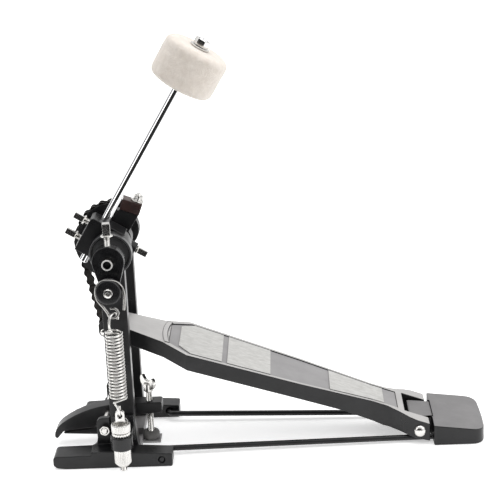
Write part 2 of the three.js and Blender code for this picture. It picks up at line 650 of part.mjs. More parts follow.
// Half the footboard's outline, from the toe to the ends of the two hinge arms.
const ARM_IN = 20.8;
const CROSSBAR_X1 = 261.5;
const outlineHalf = [
  [-9, 20], [5, 21], [39.6, 28.5], [62, 43.5], [165, 33], [232, 22.4], [246, 23], [256, 27.5],
  [265, 33.5], [272, 36], [283.5, 36],
];
const armTip = [[283.5, ARM_IN], [CROSSBAR_X1, ARM_IN]];
const mirrored = (points) => [...points, ...points.slice().reverse().map(([x, y]) => [x, -y])];
const inset = (points, wall) => points.map(([x, y]) => [x, y - wall]);

const boardTop = [[-40, treadZ(-40)], [242, treadZ(242)], [256, 30.4], [290, 18]];
const boardBottom = [
  [290, 1.6], [268, 6.8], [258, 9.9], [241, 14.8], [204, 32.6], [165, treadZ(165) - SKIRT],
  [-40, treadZ(-40) - SKIRT],
];

const makeFootboard = () => {
  const outline = shapeOf(mirrored([...outlineHalf, ...armTip]));
  const side = shapeOf([...boardTop, ...boardBottom]);
  const blank = common(slabXY(outline, -10, 160), slabXZ(side, -60, 60));

  const roof = boardTop.map(([x, z]) => [x, z - WALL - RECESS]);
  const hollowSide = slabXZ(shapeOf([...roof, [290, -20], [-40, -20]]), -60, 60);
  const middle = shapeOf(mirrored([
    [-5.5, 16], ...inset(outlineHalf.slice(1, 7), WALL), [247, 19.5],
  ]));
  const hollow = common(slabXY(middle, -10, 160), hollowSide);
  const armHollow = (side) => common(
    slabXY(shapeOf([
      [CROSSBAR_X1, side * 24], [291, side * 24], [291, side * 32.6], [272, side * 32.6],
      [265, side * 31.6], [CROSSBAR_X1, side * 29.6],
    ]), -10, 160),
    hollowSide,
  );

  const recessSide = boardTop.map(([x, z]) => [x, z - RECESS]);
  const recessSlab = slabXZ(shapeOf([...recessSide, [290, 200], [-40, 200]]), -60, 60);
  const recess = common(slabXY(recessOutline(0), -10, 160), recessSlab);

  const cheek = new THREE.Shape();
  cheek.moveTo(-4, 106.5);
  cheek.lineTo(-4, treadZ(-4) - 1);
  cheek.lineTo(-13, treadZ(-13) - 1);
  cheek.lineTo(TOE_PIN.x - 5.4, TOE_PIN.z + 7);
  cheek.absarc(TOE_PIN.x, TOE_PIN.z, 5.4, Math.PI, 1.5 * Math.PI);
  const cheekNear = slabXZ(cheek, CHAIN_Y - 7.6, CHAIN_Y - 4.6, 6);
  const cheekFar = slabXZ(cheek, CHAIN_Y + 4.6, CHAIN_Y + 7.6, 6);

  const ribPlan = shapeOf([...arcPoints(119, -0.229, 0.229, 8), ...arcPoints(114.5, 0.229, -0.229, 8)]);
  const ribSide = shapeOf([30, 60].flatMap((x, i) => {
    return [[x, treadZ(x) + (i ? 0.8 : -0.6)], [x, treadZ(x) + (i ? -0.6 : 0.8)]];
  }));
  const rib = common(
    slabXY(ribPlan, -10, 160).rotateZ(Math.PI).translate(157.6, 0, 0),
    slabXZ(ribSide, -60, 60),
  );

  const shell = cut(blank, hollow, armHollow(-1), armHollow(1), recess);
  return cut(
    join(shell, rib, cheekNear, cheekFar),
    rodY(TOE_PIN.x, TOE_PIN.z, 2.4, -10, 20, 12),
    rodY(HINGE.x, HINGE.z, HINGE_PIN_R + GAP, -45, 45, 16),
  );
};

// The tread's recess, drawn in by a margin for what lies inside it.
function recessOutline(margin) {
  const half = [
    [44.7 + margin, 24 - margin], [64, 38.5 - margin], [165, 28.8 - margin], [232, 18.6 - margin],
    [255.3 - margin, 18.6 - margin],
  ];
  return shapeOf(mirrored(half));
}

const treadLayer = (outline, down0, down1) => {
  const top = [[-40, treadZ(-40)], [290, treadZ(290)]];
  const upper = top.map(([x, z]) => [x, z - down0]);
  const lower = top.map(([x, z]) => [x, z - down1]).reverse();
  return common(slabXY(outline, -10, 160), slabXZ(shapeOf([...upper, ...lower]), -60, 60));
};
const treadHalf = (x) => {
  const [a, b, c, d] = [[64, 38.5], [165, 28.8], [232, 18.6], [252, 18.6]];
  const between = (p, q) => p[1] + (q[1] - p[1]) * (x - p[0]) / (q[0] - p[0]);
  if (x < b[0]) return between(a, b);
  if (x < c[0]) return between(b, c);
  return between(c, d);
};
const patchHalf = (x) => treadHalf(x) - 1.6;
const patches = {
  toe: [[54.5, 25], [66, patchHalf(66)], [93.6, patchHalf(93.6)]],
  middle: [[98.4, patchHalf(98.4)], [137.7, patchHalf(137.7)]],
  heel: [[192.3, patchHalf(192.3)], [232, patchHalf(232)], [242.6, patchHalf(242.6)]],
};

add(pedal, "footboard", makeFootboard(), blackCasting);
add(pedal, "tread_plate", treadLayer(recessOutline(0.7), 0.9, 1.7), greyCasting);
for (const [name, half] of Object.entries(patches)) {
  add(pedal, `grip_patch_${name}`, treadLayer(shapeOf(mirrored(half)), 0.05, 0.6), silverGrit);
}
add(pedal, "toe_pin", join(
  rodY(TOE_PIN.x, TOE_PIN.z, 2, CHAIN_Y - 8.5, CHAIN_Y + 11, 12),
  rodY(TOE_PIN.x, TOE_PIN.z, 3.8, CHAIN_Y - 10.8, CHAIN_Y - 8, 16),
), zinc);

// ---- Heel plate and its hinge pin ------------------------------------------------------

const makeHeel = () => {
  const corner = 13;
  const plan = new THREE.Shape();
  plan.moveTo(HEEL_X0, -HEEL_HALF);
  plan.lineTo(HEEL_X1 - corner, -HEEL_HALF);
  plan.quadraticCurveTo(HEEL_X1 - 2, -HEEL_HALF, HEEL_X1 - 0.6, -HEEL_HALF + corner);
  plan.quadraticCurveTo(HEEL_X1 + 0.6, 0, HEEL_X1 - 0.6, HEEL_HALF - corner);
  plan.quadraticCurveTo(HEEL_X1 - 2, HEEL_HALF, HEEL_X1 - corner, HEEL_HALF);
  plan.lineTo(HEEL_X0, HEEL_HALF);
  const side = shapeOf([[HEEL_X0, 0], [337, 0], [337, 13.8], [HEEL_X0, 20]]);
  const tongue = shapeOf([
    [HEEL_X0 + 1, 2.5], [HEEL_X0 + 1, 19.9], [266.8, 22.2], [265.2, 21], [264.6, 18], [264.6, 8.5],
    [265.6, 6.2], [269.3, 4],
  ]);
  const body = join(
    common(slabXY(plan, -1, 40, 6), slabXZ(side, -50, 50)),
    slabXZ(tongue, -18.5, 18.5),
  );
  return cut(
    body,
    rodY(HINGE.x, HINGE.z, HINGE_PIN_R + GAP, -20, 20, 16),
    rodX(-ROD_HEEL.y - 0.3, ROD_HEEL.z, ROD_R + 0.5, HEEL_X0 - 1, ROD_HEEL.x + 1, 12),
    rodX(ROD_HEEL.y + 0.3, ROD_HEEL.z, ROD_R + 0.5, HEEL_X0 - 1, ROD_HEEL.x + 1, 12),
  );
};
add(pedal, "heel_plate", makeHeel(), greyCasting);

const domeHead = (side) => turnedY(
  side < 0
    ? [[0, -39.9], [2.6, -39.3], [4.6, -38], [5.6, -36.4], [0, -36.4]]
    : [[0, 36.4], [5.6, 36.4], [4.6, 38], [2.6, 39.3], [0, 39.9]],
  HINGE.x, HINGE.z, 20,
);
add(pedal, "hinge_pin", join(
  rodY(HINGE.x, HINGE.z, HINGE_PIN_R, -37, 37, 16),
  domeHead(-1),
  domeHead(1),
), zinc);

export default pedal;
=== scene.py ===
"""The looks of a single bass drum pedal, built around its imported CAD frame. Metres, +Z up."""

import json
import math
import random

import bmesh
import bpy
from mathutils import Matrix, Vector
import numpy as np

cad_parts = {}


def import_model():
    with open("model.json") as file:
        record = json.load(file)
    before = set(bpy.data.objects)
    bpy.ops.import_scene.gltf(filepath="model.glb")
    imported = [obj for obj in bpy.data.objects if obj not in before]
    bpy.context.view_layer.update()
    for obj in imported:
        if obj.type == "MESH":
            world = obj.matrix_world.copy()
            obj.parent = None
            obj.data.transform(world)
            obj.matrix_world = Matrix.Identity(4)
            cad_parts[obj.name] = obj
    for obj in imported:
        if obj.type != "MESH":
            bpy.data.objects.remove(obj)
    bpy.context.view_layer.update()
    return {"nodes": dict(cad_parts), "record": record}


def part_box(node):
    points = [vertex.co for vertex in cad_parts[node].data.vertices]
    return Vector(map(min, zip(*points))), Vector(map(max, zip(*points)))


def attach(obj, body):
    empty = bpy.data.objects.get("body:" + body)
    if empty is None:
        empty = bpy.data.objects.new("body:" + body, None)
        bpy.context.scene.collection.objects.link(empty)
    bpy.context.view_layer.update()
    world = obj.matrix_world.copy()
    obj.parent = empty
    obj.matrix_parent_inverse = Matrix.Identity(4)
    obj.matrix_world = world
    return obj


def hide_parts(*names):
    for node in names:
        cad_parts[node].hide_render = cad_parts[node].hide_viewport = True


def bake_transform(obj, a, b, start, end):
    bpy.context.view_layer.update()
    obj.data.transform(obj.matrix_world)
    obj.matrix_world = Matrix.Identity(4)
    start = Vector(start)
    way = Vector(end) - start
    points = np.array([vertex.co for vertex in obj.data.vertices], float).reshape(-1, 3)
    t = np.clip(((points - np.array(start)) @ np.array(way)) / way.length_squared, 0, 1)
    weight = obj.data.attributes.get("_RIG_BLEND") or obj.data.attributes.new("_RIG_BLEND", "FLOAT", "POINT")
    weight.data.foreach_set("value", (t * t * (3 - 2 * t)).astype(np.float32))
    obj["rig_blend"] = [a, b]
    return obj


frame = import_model()

MM = 0.001
AXLE_Z = 198.4
ROLLER_Y, ROLLER_Z = -77, 175
CLAMP_SCREW = (21.7, -4.0)  # the wing screw's upright axis, in X and Y
TREAD_SLOPE = 0.3575  # the tread's rise for each millimetre towards the toe
UPWARD = 0.75  # a face whose normal rises more than this counts as a top face
SLOT_OF = {s["node"]: s["material_slot"] for s in frame["record"]["subparts"]}
BODY_OF = {n: b for b, nodes in frame["record"]["behaviour"]["bodies"].items() for n in nodes}


# ---- Materials -------------------------------------------------------------------------

class Nodes:
    """A small helper to wire up one material's nodes."""

    def __init__(self, name):
        self.material = bpy.data.materials.new(name)
        self.material.use_nodes = True
        self.tree = self.material.node_tree
        self.shader = self.tree.nodes["Principled BSDF"]
        self.coords = self.tree.nodes.new("ShaderNodeTexCoord").outputs["Object"]

    def link(self, a, b):
        self.tree.links.new(a, b)

    def set(self, **values):
        for name, value in values.items():
            self.shader.inputs[name.replace("_", " ")].default_value = value

    def noise(self, scale, detail, rough=0.55, stretch=None, distortion=0.0):
        node = self.tree.nodes.new("ShaderNodeTexNoise")
        node.inputs["Scale"].default_value = scale
        node.inputs["Detail"].default_value = detail
        node.inputs["Roughness"].default_value = rough
        node.inputs["Distortion"].default_value = distortion
        source = self.coords
        if stretch:
            mapping = self.tree.nodes.new("ShaderNodeMapping")
            mapping.inputs["Scale"].default_value = stretch
            self.link(source, mapping.inputs["Vector"])
            source = mapping.outputs["Vector"]
        self.link(source, node.inputs["Vector"])
        return node.outputs["Fac"]

    def voronoi(self, scale):
        node = self.tree.nodes.new("ShaderNodeTexVoronoi")
        node.feature = "F1"
        node.inputs["Scale"].default_value = scale
        self.link(self.coords, node.inputs["Vector"])
        return node.outputs["Distance"]

    def ramp(self, source, stops):
        node = self.tree.nodes.new("ShaderNodeValToRGB")
        elements = node.color_ramp.elements
        while len(elements) < len(stops):
            elements.new(0.5)
        for element, (place, value) in zip(elements, stops):
            element.position = place
            colour = value if isinstance(value, tuple) else (value, value, value)
            element.color = (*colour, 1.0)
        self.link(source, node.inputs["Fac"])
        return node.outputs["Color"]

    def colour(self, source, stops):
        self.link(self.ramp(source, stops), self.shader.inputs["Base Color"])

    def roughness(self, source, low, high):
        node = self.tree.nodes.new("ShaderNodeMapRange")
        node.inputs["From Min"].default_value = 0.3
        node.inputs["From Max"].default_value = 0.7
        node.inputs["To Min"].default_value = low
        node.inputs["To Max"].default_value = high
        self.link(source, node.inputs["Value"])
        self.link(node.outputs["Result"], self.shader.inputs["Roughness"])

    def bump(self, layers):
        """Each layer is (height source, distance in metres, strength), the lowest first."""
        normal = None
        for source, distance, strength in layers:
            node = self.tree.nodes.new("ShaderNodeBump")
            node.inputs["Distance"].default_value = distance
            node.inputs["Strength"].default_value = strength
            self.link(source, node.inputs["Height"])
            if normal:
                self.link(normal, node.inputs["Normal"])
            normal = node.outputs["Normal"]
        self.link(normal, self.shader.inputs["Normal"])


def black_paint():
    """Satin black over a die casting: orange peel, a faint cast texture and rubbed patches."""
    n = Nodes("black_paint")
    n.set(Specular_IOR_Level=0.36)
    n.colour(n.noise(38, 6), [(0.35, (0.006, 0.006, 0.0065)), (0.72, (0.013, 0.013, 0.014))])
    n.roughness(n.noise(55, 5), 0.26, 0.40)
    n.bump([(n.noise(700, 3), 0.00008, 0.12), (n.noise(160, 3), 0.0002, 0.08)])
    return n.material


def black_moulding():
    """Smoother, glossier black for the moulded parts."""
    n = Nodes("black_moulding")
    n.set(Specular_IOR_Level=0.42)
    n.colour(n.noise(60, 4), [(0.3, (0.005, 0.005, 0.0055)), (0.7, (0.010, 0.010, 0.011))])
    n.roughness(n.noise(90, 4), 0.16, 0.28)
    n.bump([(n.noise(500, 2), 0.00006, 0.1)])
    return n.material


def grey_top(name, tone):
    """The lighter grey of the treads: satin paint with small flow marks. On the heel's top faces it is
    painted light, the highlight of the lit top of the black casting.
    """
    n = Nodes(name)
    n.set(Metallic=0.25, IOR=1.5)
    n.colour(n.noise(26, 5), [(0.3, (tone, tone * 0.975, tone * 0.985)),
                              (0.75, (tone * 1.25, tone * 1.22, tone * 1.23))])
    n.roughness(n.noise(70, 5), 0.42, 0.58)
    n.bump([(n.noise(1100, 3), 0.0001, 0.3), (n.noise(60, 3), 0.0004, 0.1)])
    return n.material


def lit_top_metal():
    """Bright metal painted on the footboard's upward faces, rim and toe: the painted highlight of their lit
    tops.
    """
    n = Nodes("lit_top_metal")
    n.set(Metallic=0.7)
    n.colour(n.noise(30, 5), [(0.3, (0.47, 0.46, 0.455)), (0.75, (0.58, 0.57, 0.56))])
    n.roughness(n.noise(80, 6, stretch=(1, 9, 1)), 0.38, 0.55)
    n.bump([(n.noise(420, 4, stretch=(1, 14, 1)), 0.0001, 0.25), (n.noise(900, 2), 0.0001, 0.2)])
    return n.material


def satin_black():
    """The softer, greyer black of the bearing housings."""
    n = Nodes("satin_black")
    n.set(Specular_IOR_Level=1.0)
    n.colour(n.noise(45, 5), [(0.3, (0.030, 0.030, 0.031)), (0.7, (0.052, 0.052, 0.054))])
    n.roughness(n.noise(90, 4), 0.26, 0.38)
    n.bump([(n.noise(600, 3), 0.00006, 0.1)])
    return n.material


def grey_rubber():
    """The clamp's pad: matt moulded rubber, a little dusty."""
    n = Nodes("grey_rubber")
    n.set(Specular_IOR_Level=0.4)
    n.colour(n.noise(140, 5), [(0.3, (0.085, 0.083, 0.080)), (0.7, (0.125, 0.122, 0.118))])
    n.roughness(n.noise(120, 4), 0.45, 0.62)
    n.bump([(n.noise(900, 3), 0.00008, 0.2)])
    return n.material


def zinc_plate():
    """Bright zinc on screws, nuts and the spring."""
    n = Nodes("zinc_plate")
    n.set(Metallic=1.0)
    n.colour(n.noise(70, 4), [(0.3, (0.60, 0.59, 0.57)), (0.7, (0.70, 0.69, 0.67))])
    n.roughness(n.noise(110, 4), 0.13, 0.24)
    n.bump([(n.noise(900, 3), 0.00004, 0.07), (n.noise(300, 3), 0.0001, 0.04)])
    return n.material


def drawn_wire():
    """Duller bare steel wire with a drawn grain."""
    n = Nodes("drawn_wire")
    n.set(Metallic=1.0)
    n.colour(n.noise(80, 4), [(0.3, (0.27, 0.265, 0.255)), (0.7, (0.42, 0.41, 0.395))])
    n.roughness(n.noise(240, 4), 0.14, 0.26)
    n.bump([(n.noise(700, 3), 0.00004, 0.08)])
    return n.material


def turned_steel():
    """The axle's bright, fine-turned end."""
    n = Nodes("turned_steel")
    n.set(Metallic=0.3)
    n.colour(n.noise(90, 4), [(0.3, (0.62, 0.61, 0.59)), (0.7, (0.74, 0.73, 0.71))])
    n.roughness(n.noise(300, 4), 0.30, 0.42)
    n.bump([(n.noise(800, 3), 0.00005, 0.1)])
    return n.material


def chrome_plate():
    """Near-mirror chrome of the beater's rod."""
    n = Nodes("chrome_plate")
    n.set(Metallic=1.0)
    n.colour(n.noise(40, 3), [(0.2, (0.80, 0.80, 0.81)), (0.8, (0.90, 0.90, 0.905))])
    n.roughness(n.noise(160, 5), 0.035, 0.085)
    n.bump([(n.noise(60, 2), 0.0001, 0.03)])
    return n.material


def chain_steel():
    """Blackened links with rubbed, slightly brown highlights."""
    n = Nodes("chain_steel")
    n.set(Metallic=0.85)
    n.colour(n.noise(260, 5), [(0.3, (0.010, 0.010, 0.0095)), (0.6, (0.028, 0.026, 0.024)),
                               (0.85, (0.085, 0.078, 0.070))])
    n.roughness(n.noise(400, 4), 0.24, 0.42)
    n.bump([(n.noise(900, 3), 0.0001, 0.3)])
    return n.material


def wool_felt():
    """Pressed wool: soft mottling, matted fibres and a little sheen."""
    n = Nodes("wool_felt")
    n.set(Sheen_Weight=0.35, Sheen_Roughness=0.6, Subsurface_Weight=0.12, Subsurface_Scale=0.002)
    n.shader.inputs["Subsurface Radius"].default_value = (1.0, 0.85, 0.7)
    n.colour(n.noise(150, 8, 0.7), [(0.30, (0.72, 0.645, 0.570)), (0.52, (0.80, 0.730, 0.655)),
                                     (0.75, (0.89, 0.820, 0.745))])
    n.roughness(n.noise(300, 4), 0.86, 1.0)
    n.bump([
        (n.noise(1500, 8, 0.75, distortion=1.6), 0.0009, 0.75),
        (n.noise(260, 6, 0.65), 0.0014, 0.45),
    ])
    return n.material


def red_felt():
    """Thin dark red felt under the chain."""
    n = Nodes("red_felt")
    n.set(Sheen_Weight=0.25)
    n.colour(n.noise(400, 6, 0.7), [(0.3, (0.055, 0.012, 0.012)), (0.7, (0.150, 0.030, 0.028))])
    n.roughness(n.noise(300, 4), 0.85, 1.0)
    n.bump([(n.noise(1800, 6, 0.7), 0.0005, 0.7)])
    return n.material


def grip_sheet():
    """Light silver grip sheet: a sanded grain with long soft streaks across the board."""
    n = Nodes("grip_sheet")
    n.set(Metallic=0.15)
    n.colour(n.noise(120, 7, 0.7, stretch=(1, 2.6, 1)),
             [(0.3, (0.40, 0.395, 0.38)), (0.55, (0.50, 0.495, 0.48)), (0.8, (0.60, 0.595, 0.58))])
    n.roughness(n.noise(500, 4), 0.55, 0.8)
    grain = n.noise(500, 5, 0.7, stretch=(1, 3, 1))
    n.bump([(n.voronoi(1500), 0.0002, 0.35), (grain, 0.0003, 0.4)])
    return n.material


def brown_paint():
    """Red-brown enamel of the chain's clamp block."""
    n = Nodes("brown_paint")
    n.set(IOR=1.5)
    n.colour(n.noise(90, 5), [(0.3, (0.020, 0.010, 0.009)), (0.75, (0.046, 0.020, 0.017))])
    n.roughness(n.noise(120, 5), 0.3, 0.5)
    n.bump([(n.noise(900, 3), 0.0001, 0.3)])
    return n.material


MATERIALS = {
    "black_casting": black_paint(),
    "grey_casting": grey_top("grey_top", 0.25),
    "zinc": zinc_plate(),
    "black_plastic": black_moulding(),
    "chrome": chrome_plate(),
    "chain_steel": chain_steel(),
    "white_felt": wool_felt(),
    "red_felt": red_felt(),
    "silver_grit": grip_sheet(),
    "brown_block": brown_paint(),
}
# Bright metal for the footboard's upward faces only: the painted highlight of the lit top.
LIT_TOP = lit_top_metal()
SATIN = satin_black()

for node, thing in frame["nodes"].items():
    thing.data.materials.clear()
    thing.data.materials.append(MATERIALS[SLOT_OF[node]])


# ---- Mesh tools ------------------------------------------------------------------------

def finish_mesh(bm, name, material, sharp=38.0):
    """A smooth-shaded object from a bmesh, its steep edges kept crisp."""
    bmesh.ops.recalc_face_normals(bm, faces=bm.faces)
    for face in bm.faces:
        face.smooth = True
    for edge in bm.edges:
        edge.smooth = len(edge.link_faces) != 2 or edge.calc_face_angle(0.0) < math.radians(sharp)
    mesh = bpy.data.meshes.new(name)
    bm.to_mesh(mesh)
    bm.free()
    mesh.materials.append(material)
    piece = bpy.data.objects.new(name, mesh)
    bpy.context.scene.collection.objects.link(piece)
    weighted = piece.modifiers.new("normals", "WEIGHTED_NORMAL")
    weighted.keep_sharp = True
    return piece


def merge(parts):
    """One bmesh from several."""
    bm = bmesh.new()
    for part in parts:
        mesh = bpy.data.meshes.new("part")
        part.to_mesh(mesh)
        part.free()
        bm.from_mesh(mesh)
        bpy.data.meshes.remove(mesh)
    return bm


def assemble(name, slot, parts, sharp=38.0):
    """One smooth-shaded piece from several bmesh parts in millimetres."""
    bm = merge(parts)
    bmesh.ops.scale(bm, vec=(MM, MM, MM), verts=bm.verts)
    return finish_mesh(bm, name, MATERIALS[slot], sharp)


def build_extra(name, body, slot, parts):
    """A piece that the frame has no node for, riding on a body."""
    piece = assemble(name, slot, parts)
    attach(piece, body)
    return piece


def stand_for(piece, *nodes):
    """The piece takes these nodes' place and their body."""
    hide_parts(*nodes)
    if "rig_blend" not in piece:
        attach(piece, BODY_OF[nodes[0]])
    return piece


def build(name, *nodes, parts, sharp=38.0, blend=None):
    """A piece that stands for one or more of the frame's nodes."""
    piece = assemble(name, SLOT_OF[nodes[0]], parts, sharp)
    if blend:
        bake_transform(piece, *blend)
    return stand_for(piece, *nodes)


def bevel(bm, width, segments, angle=28.0):
    """Rounds the edges that turn by more than the angle."""
    edges = [
        e for e in bm.edges
        if len(e.link_faces) == 2 and e.calc_face_angle(0.0) > math.radians(angle)
    ]
    bmesh.ops.bevel(
        bm, geom=edges, offset=width, offset_type="OFFSET", segments=segments, profile=0.5,
        affect="EDGES", clamp_overlap=False,
    )


def refine(node, width, segments=3):
    """The CAD solid with its edges rounded off, as a casting or a moulding has them."""
    bm = bmesh.new()
    bm.from_mesh(frame["nodes"][node].data)
    bmesh.ops.remove_doubles(bm, verts=bm.verts, dist=0.004 * MM)
    bmesh.ops.dissolve_limit(
        bm, angle_limit=math.radians(0.6), use_dissolve_boundaries=False,
        verts=bm.verts, edges=bm.edges,
    )
    bevel(bm, width * MM, segments)
    piece = finish_mesh(bm, node + "_piece", MATERIALS[SLOT_OF[node]])
    return stand_for(piece, node)


def turn_matrix(axis):
    """Turns +Z to the given axis."""
    return Vector((0, 0, 1)).rotation_difference(Vector(axis).normalized()).to_matrix().to_4x4()


def place(bm, at, axis=(0, 0, 1), spin=0.0):
    """Turns +Z to the axis and moves the origin to the point."""
    matrix = Matrix.Translation(Vector(at)) @ turn_matrix(axis) @ Matrix.Rotation(spin, 4, "Z")
    bmesh.ops.transform(bm, matrix=matrix, verts=bm.verts)
    return bm


def lathe(profile, sides, ripple=None):
    """A turned solid round +Z. ripple(angle, index) scales a row's radius, for knurls."""
    bm = bmesh.new()
    rings = []
    for i, (r, z) in enumerate(profile):
        if r < 1e-6:
            rings.append([bm.verts.new((0, 0, z))])
            continue
        ring = []
        for k in range(sides):
            a = 2 * math.pi * k / sides
            grown = r * (ripple(a, i) if ripple else 1.0)
            ring.append(bm.verts.new((grown * math.cos(a), grown * math.sin(a), z)))
        rings.append(ring)
    closed = profile[0] == profile[-1] and profile[0][0] > 1e-6
    if closed:
        bmesh.ops.delete(bm, geom=rings.pop(), context="VERTS")
        rings.append(rings[0])
    for low, high in zip(rings, rings[1:]):
        for k in range(sides):
            n = (k + 1) % sides
            if len(low) == 1 and len(high) == 1:
                continue
            if len(low) == 1:
                bm.faces.new((low[0], high[n], high[k]))
            elif len(high) == 1:
                bm.faces.new((low[k], low[n], high[0]))
            else:
                bm.faces.new((low[k], low[n], high[n], high[k]))
    return bm


def tube(points, radius, sides):
    """A round wire along a list of points, with rounded ends."""
    bm = bmesh.new()
    path = [Vector(p) for p in points]
    rings = []
    side = None
    for i, p in enumerate(path):
        ahead = path[min(i + 1, len(path) - 1)] - path[max(i - 1, 0)]
        ahead.normalize()
        if side is None:
            side = ahead.orthogonal().normalized()
        side = (side - ahead * side.dot(ahead)).normalized()
        up = ahead.cross(side)
        ring = []
        for k in range(sides):
            a = 2 * math.pi * k / sides
            ring.append(bm.verts.new(p + (side * math.cos(a) + up * math.sin(a)) * radius))
        rings.append(ring)
    for low, high in zip(rings, rings[1:]):
        for k in range(sides):
            n = (k + 1) % sides
            bm.faces.new((low[k], low[n], high[n], high[k]))
    for ring, p, q in ((rings[0], path[0], path[1]), (rings[-1], path[-1], path[-2])):
        out = (p - q).normalized()
        small = [bm.verts.new(p + (v.co - p) * 0.7 + out * radius * 0.3) for v in ring]
        for k in range(sides):
            n = (k + 1) % sides
            bm.faces.new((ring[k], ring[n], small[n], small[k]))
        bm.faces.new(small)
    return bm


def smooth_path(points, steps):
    """A Catmull-Rom curve through the points."""
    p = [Vector(v) for v in points]
    p = [2 * p[0] - p[1], *p, 2 * p[-1] - p[-2]]
    out = []
    for i in range(1, len(p) - 2):
        for k in range(steps):
            t = k / steps
            a, b, c, d = p[i - 1], p[i], p[i + 1], p[i + 2]
            out.append(0.5 * (2 * b + (c - a) * t + (2 * a - 5 * b + 4 * c - d) * t * t
                              + (3 * b - a - 3 * c + d) * t ** 3))
    out.append(p[-2])
    return out


def slab(outline, y0, y1, width, segments):
    """An outline in X and Z made thick along Y, its edges rounded."""
    bm = bmesh.new()
    low = [bm.verts.new((x, y0, z)) for x, z in outline]
    high = [bm.verts.new((x, y1, z)) for x, z in outline]
    bm.faces.new(low)
    bm.faces.new(list(reversed(high)))
    for k in range(len(outline)):
        n = (k + 1) % len(outline)
        bm.faces.new((low[k], high[k], high[n], low[n]))
    bmesh.ops.recalc_face_normals(bm, faces=bm.faces)
    bevel(bm, width, segments)
    return bm


def block(x, y, z, width):
    """A box centred on the origin with rounded edges."""
    bm = bmesh.new()
    bmesh.ops.create_cube(bm, size=1.0)
    bmesh.ops.scale(bm, vec=(x, y, z), verts=bm.verts)
    bevel(bm, width, 2)
    return bm


def arc(radius, start, end, count, centre=(0, 0)):
    """Points along an arc, both ends included."""
    return [
        (centre[0] + radius * math.cos(start + (end - start) * i / count),
         centre[1] + radius * math.sin(start + (end - start) * i / count))
        for i in range(count + 1)
    ]


def thread(radius, z0, z1, pitch, depth=0.35):
    """A profile with a ridge at every pitch."""
    count = max(int((z1 - z0) / pitch), 1)
    step = (z1 - z0) / count
    points = []
    for i in range(count):
        foot = z0 + i * step
        points += [(radius - depth, foot + 0.05 * step), (radius, foot + 0.5 * step)]
    return points + [(radius - depth, z1)]


def hexagon(across, z0, z1, bore, chamfer):
    """A hexagon nut or head: flats cut by a cone at both ends."""
    r = across / math.sqrt(3)
    cone = 0.915  # the cone's radius at the ends, as a share of the corner radius

    def flats(a, i):
        if i in inner:
            return 1.0
        turn = (a + math.pi / 6) % (math.pi / 3) - math.pi / 6
        flat = math.cos(math.pi / 6) / math.cos(turn)
        return flat if i in body else min(flat, cone)

    middle = [(r, z0), (r, z0 + chamfer), (r, z1 - chamfer), (r, z1)]
    if bore:
        profile = [(bore, z0), *middle, (bore, z1), (bore, z0)]
    else:
        profile = [(0, z0), *middle, (0, z1)]
    body = (2, 3)
    inner = (0, 5, 6) if bore else (0, 5)
    return lathe(profile, 72, flats)


# ---- Chain -----------------------------------------------------------------------------

CHAIN_Y = 5.75
CHAIN_HALF = 3.9
CHAIN_R = 34.0
CHAIN_PITCH = 8.31
LEAVES = math.radians(192)  # where the hanging run starts, round the axle from +X
PITCH_ANGLE = 2 * math.asin(CHAIN_PITCH / 2 / CHAIN_R)
TOE_PIN = (-16.0, 110.0)


def link_plate(length, y0, y1):
    """A figure-of-eight side plate, from one pin to the next along +X."""
    r, waist = 3.55, 2.15
    outline = arc(r, math.radians(60), math.radians(300), 12)
    outline += [(length * t, -waist) for t in (0.42, 0.58)]
    outline += arc(r, math.radians(-120), math.radians(120), 12, (length, 0))
    outline += [(length * t, waist) for t in (0.58, 0.42)]
    return slab(outline, y0, y1, 0.22, 2)


def chain_link(a, b, wide):
    """Both plates of one link, with its roller or its riveted pins."""
    length = math.dist(a, b)
    lean = math.atan2(b[1] - a[1], b[0] - a[0])
    inset = 0.0 if wide else 1.15
    parts = []
    for side in (-1, 1):
        outer = side * (CHAIN_HALF - inset)
        inner = side * (CHAIN_HALF - inset - 1.0)
        parts.append(link_plate(length, min(inner, outer), max(inner, outer)))
    for x in (0.0, length):
        if wide:
            rivet = [
                (0, -CHAIN_HALF - 0.15), (1.0, -CHAIN_HALF - 0.1), (1.35, -CHAIN_HALF + 0.4),
                (1.35, CHAIN_HALF - 0.4), (1.0, CHAIN_HALF + 0.1), (0, CHAIN_HALF + 0.15),
            ]
            parts.append(place(lathe(rivet, 16), (x, 0, 0), (0, 1, 0)))
        else:
            half = CHAIN_HALF - 2.3
            barrel = [
                (0, -half), (2.4, -half), (2.5, -half + 0.2), (2.5, half - 0.2), (2.4, half),
                (0, half),
            ]
            parts.append(place(lathe(barrel, 20), (x, 0, 0), (0, 1, 0)))
    matrix = Matrix.Translation((a[0], CHAIN_Y, a[1])) @ Matrix.Rotation(-lean, 4, "Y")
    for part in parts:
        bmesh.ops.transform(part, matrix=matrix, verts=part.verts)
    return parts


def chain():
    """The links on the cam and the hanging links, narrow and wide by turns."""
    on_cam, hanging = 8, 10
    wrap = []
    for i in range(on_cam + 1):
        a = LEAVES - i * PITCH_ANGLE
        wrap.append((CHAIN_R * math.cos(a), AXLE_Z + CHAIN_R * math.sin(a)))
    x, z = wrap[0]
    run = [
        (x + (TOE_PIN[0] - x) * i / hanging, z + (TOE_PIN[1] - z) * i / hanging)
        for i in range(hanging + 1)
    ]
    wrapped = [p for i in range(on_cam) for p in chain_link(wrap[i], wrap[i + 1], i % 2 == 0)]
    straight = [p for i in range(hanging) for p in chain_link(run[i], run[i + 1], i % 2 == 1)]
    build("chain_links_on_cam", "chain_wrap", parts=wrapped)
    build("chain_links_hanging", "chain_run", parts=straight)


chain()


# ---- Spring, stirrup, eye bolt and nuts ------------------------------------------------

SPRING = (2.0, -78.0)
COIL_TURNS = 21
COIL_STEPS = 28  # points in each turn
COIL_R = 7.0
COIL_Z0, COIL_Z1 = 74.0, 138.4
HOOK_TURN = math.radians(55)  # the upper hook's plane, turned from the pedal's side view


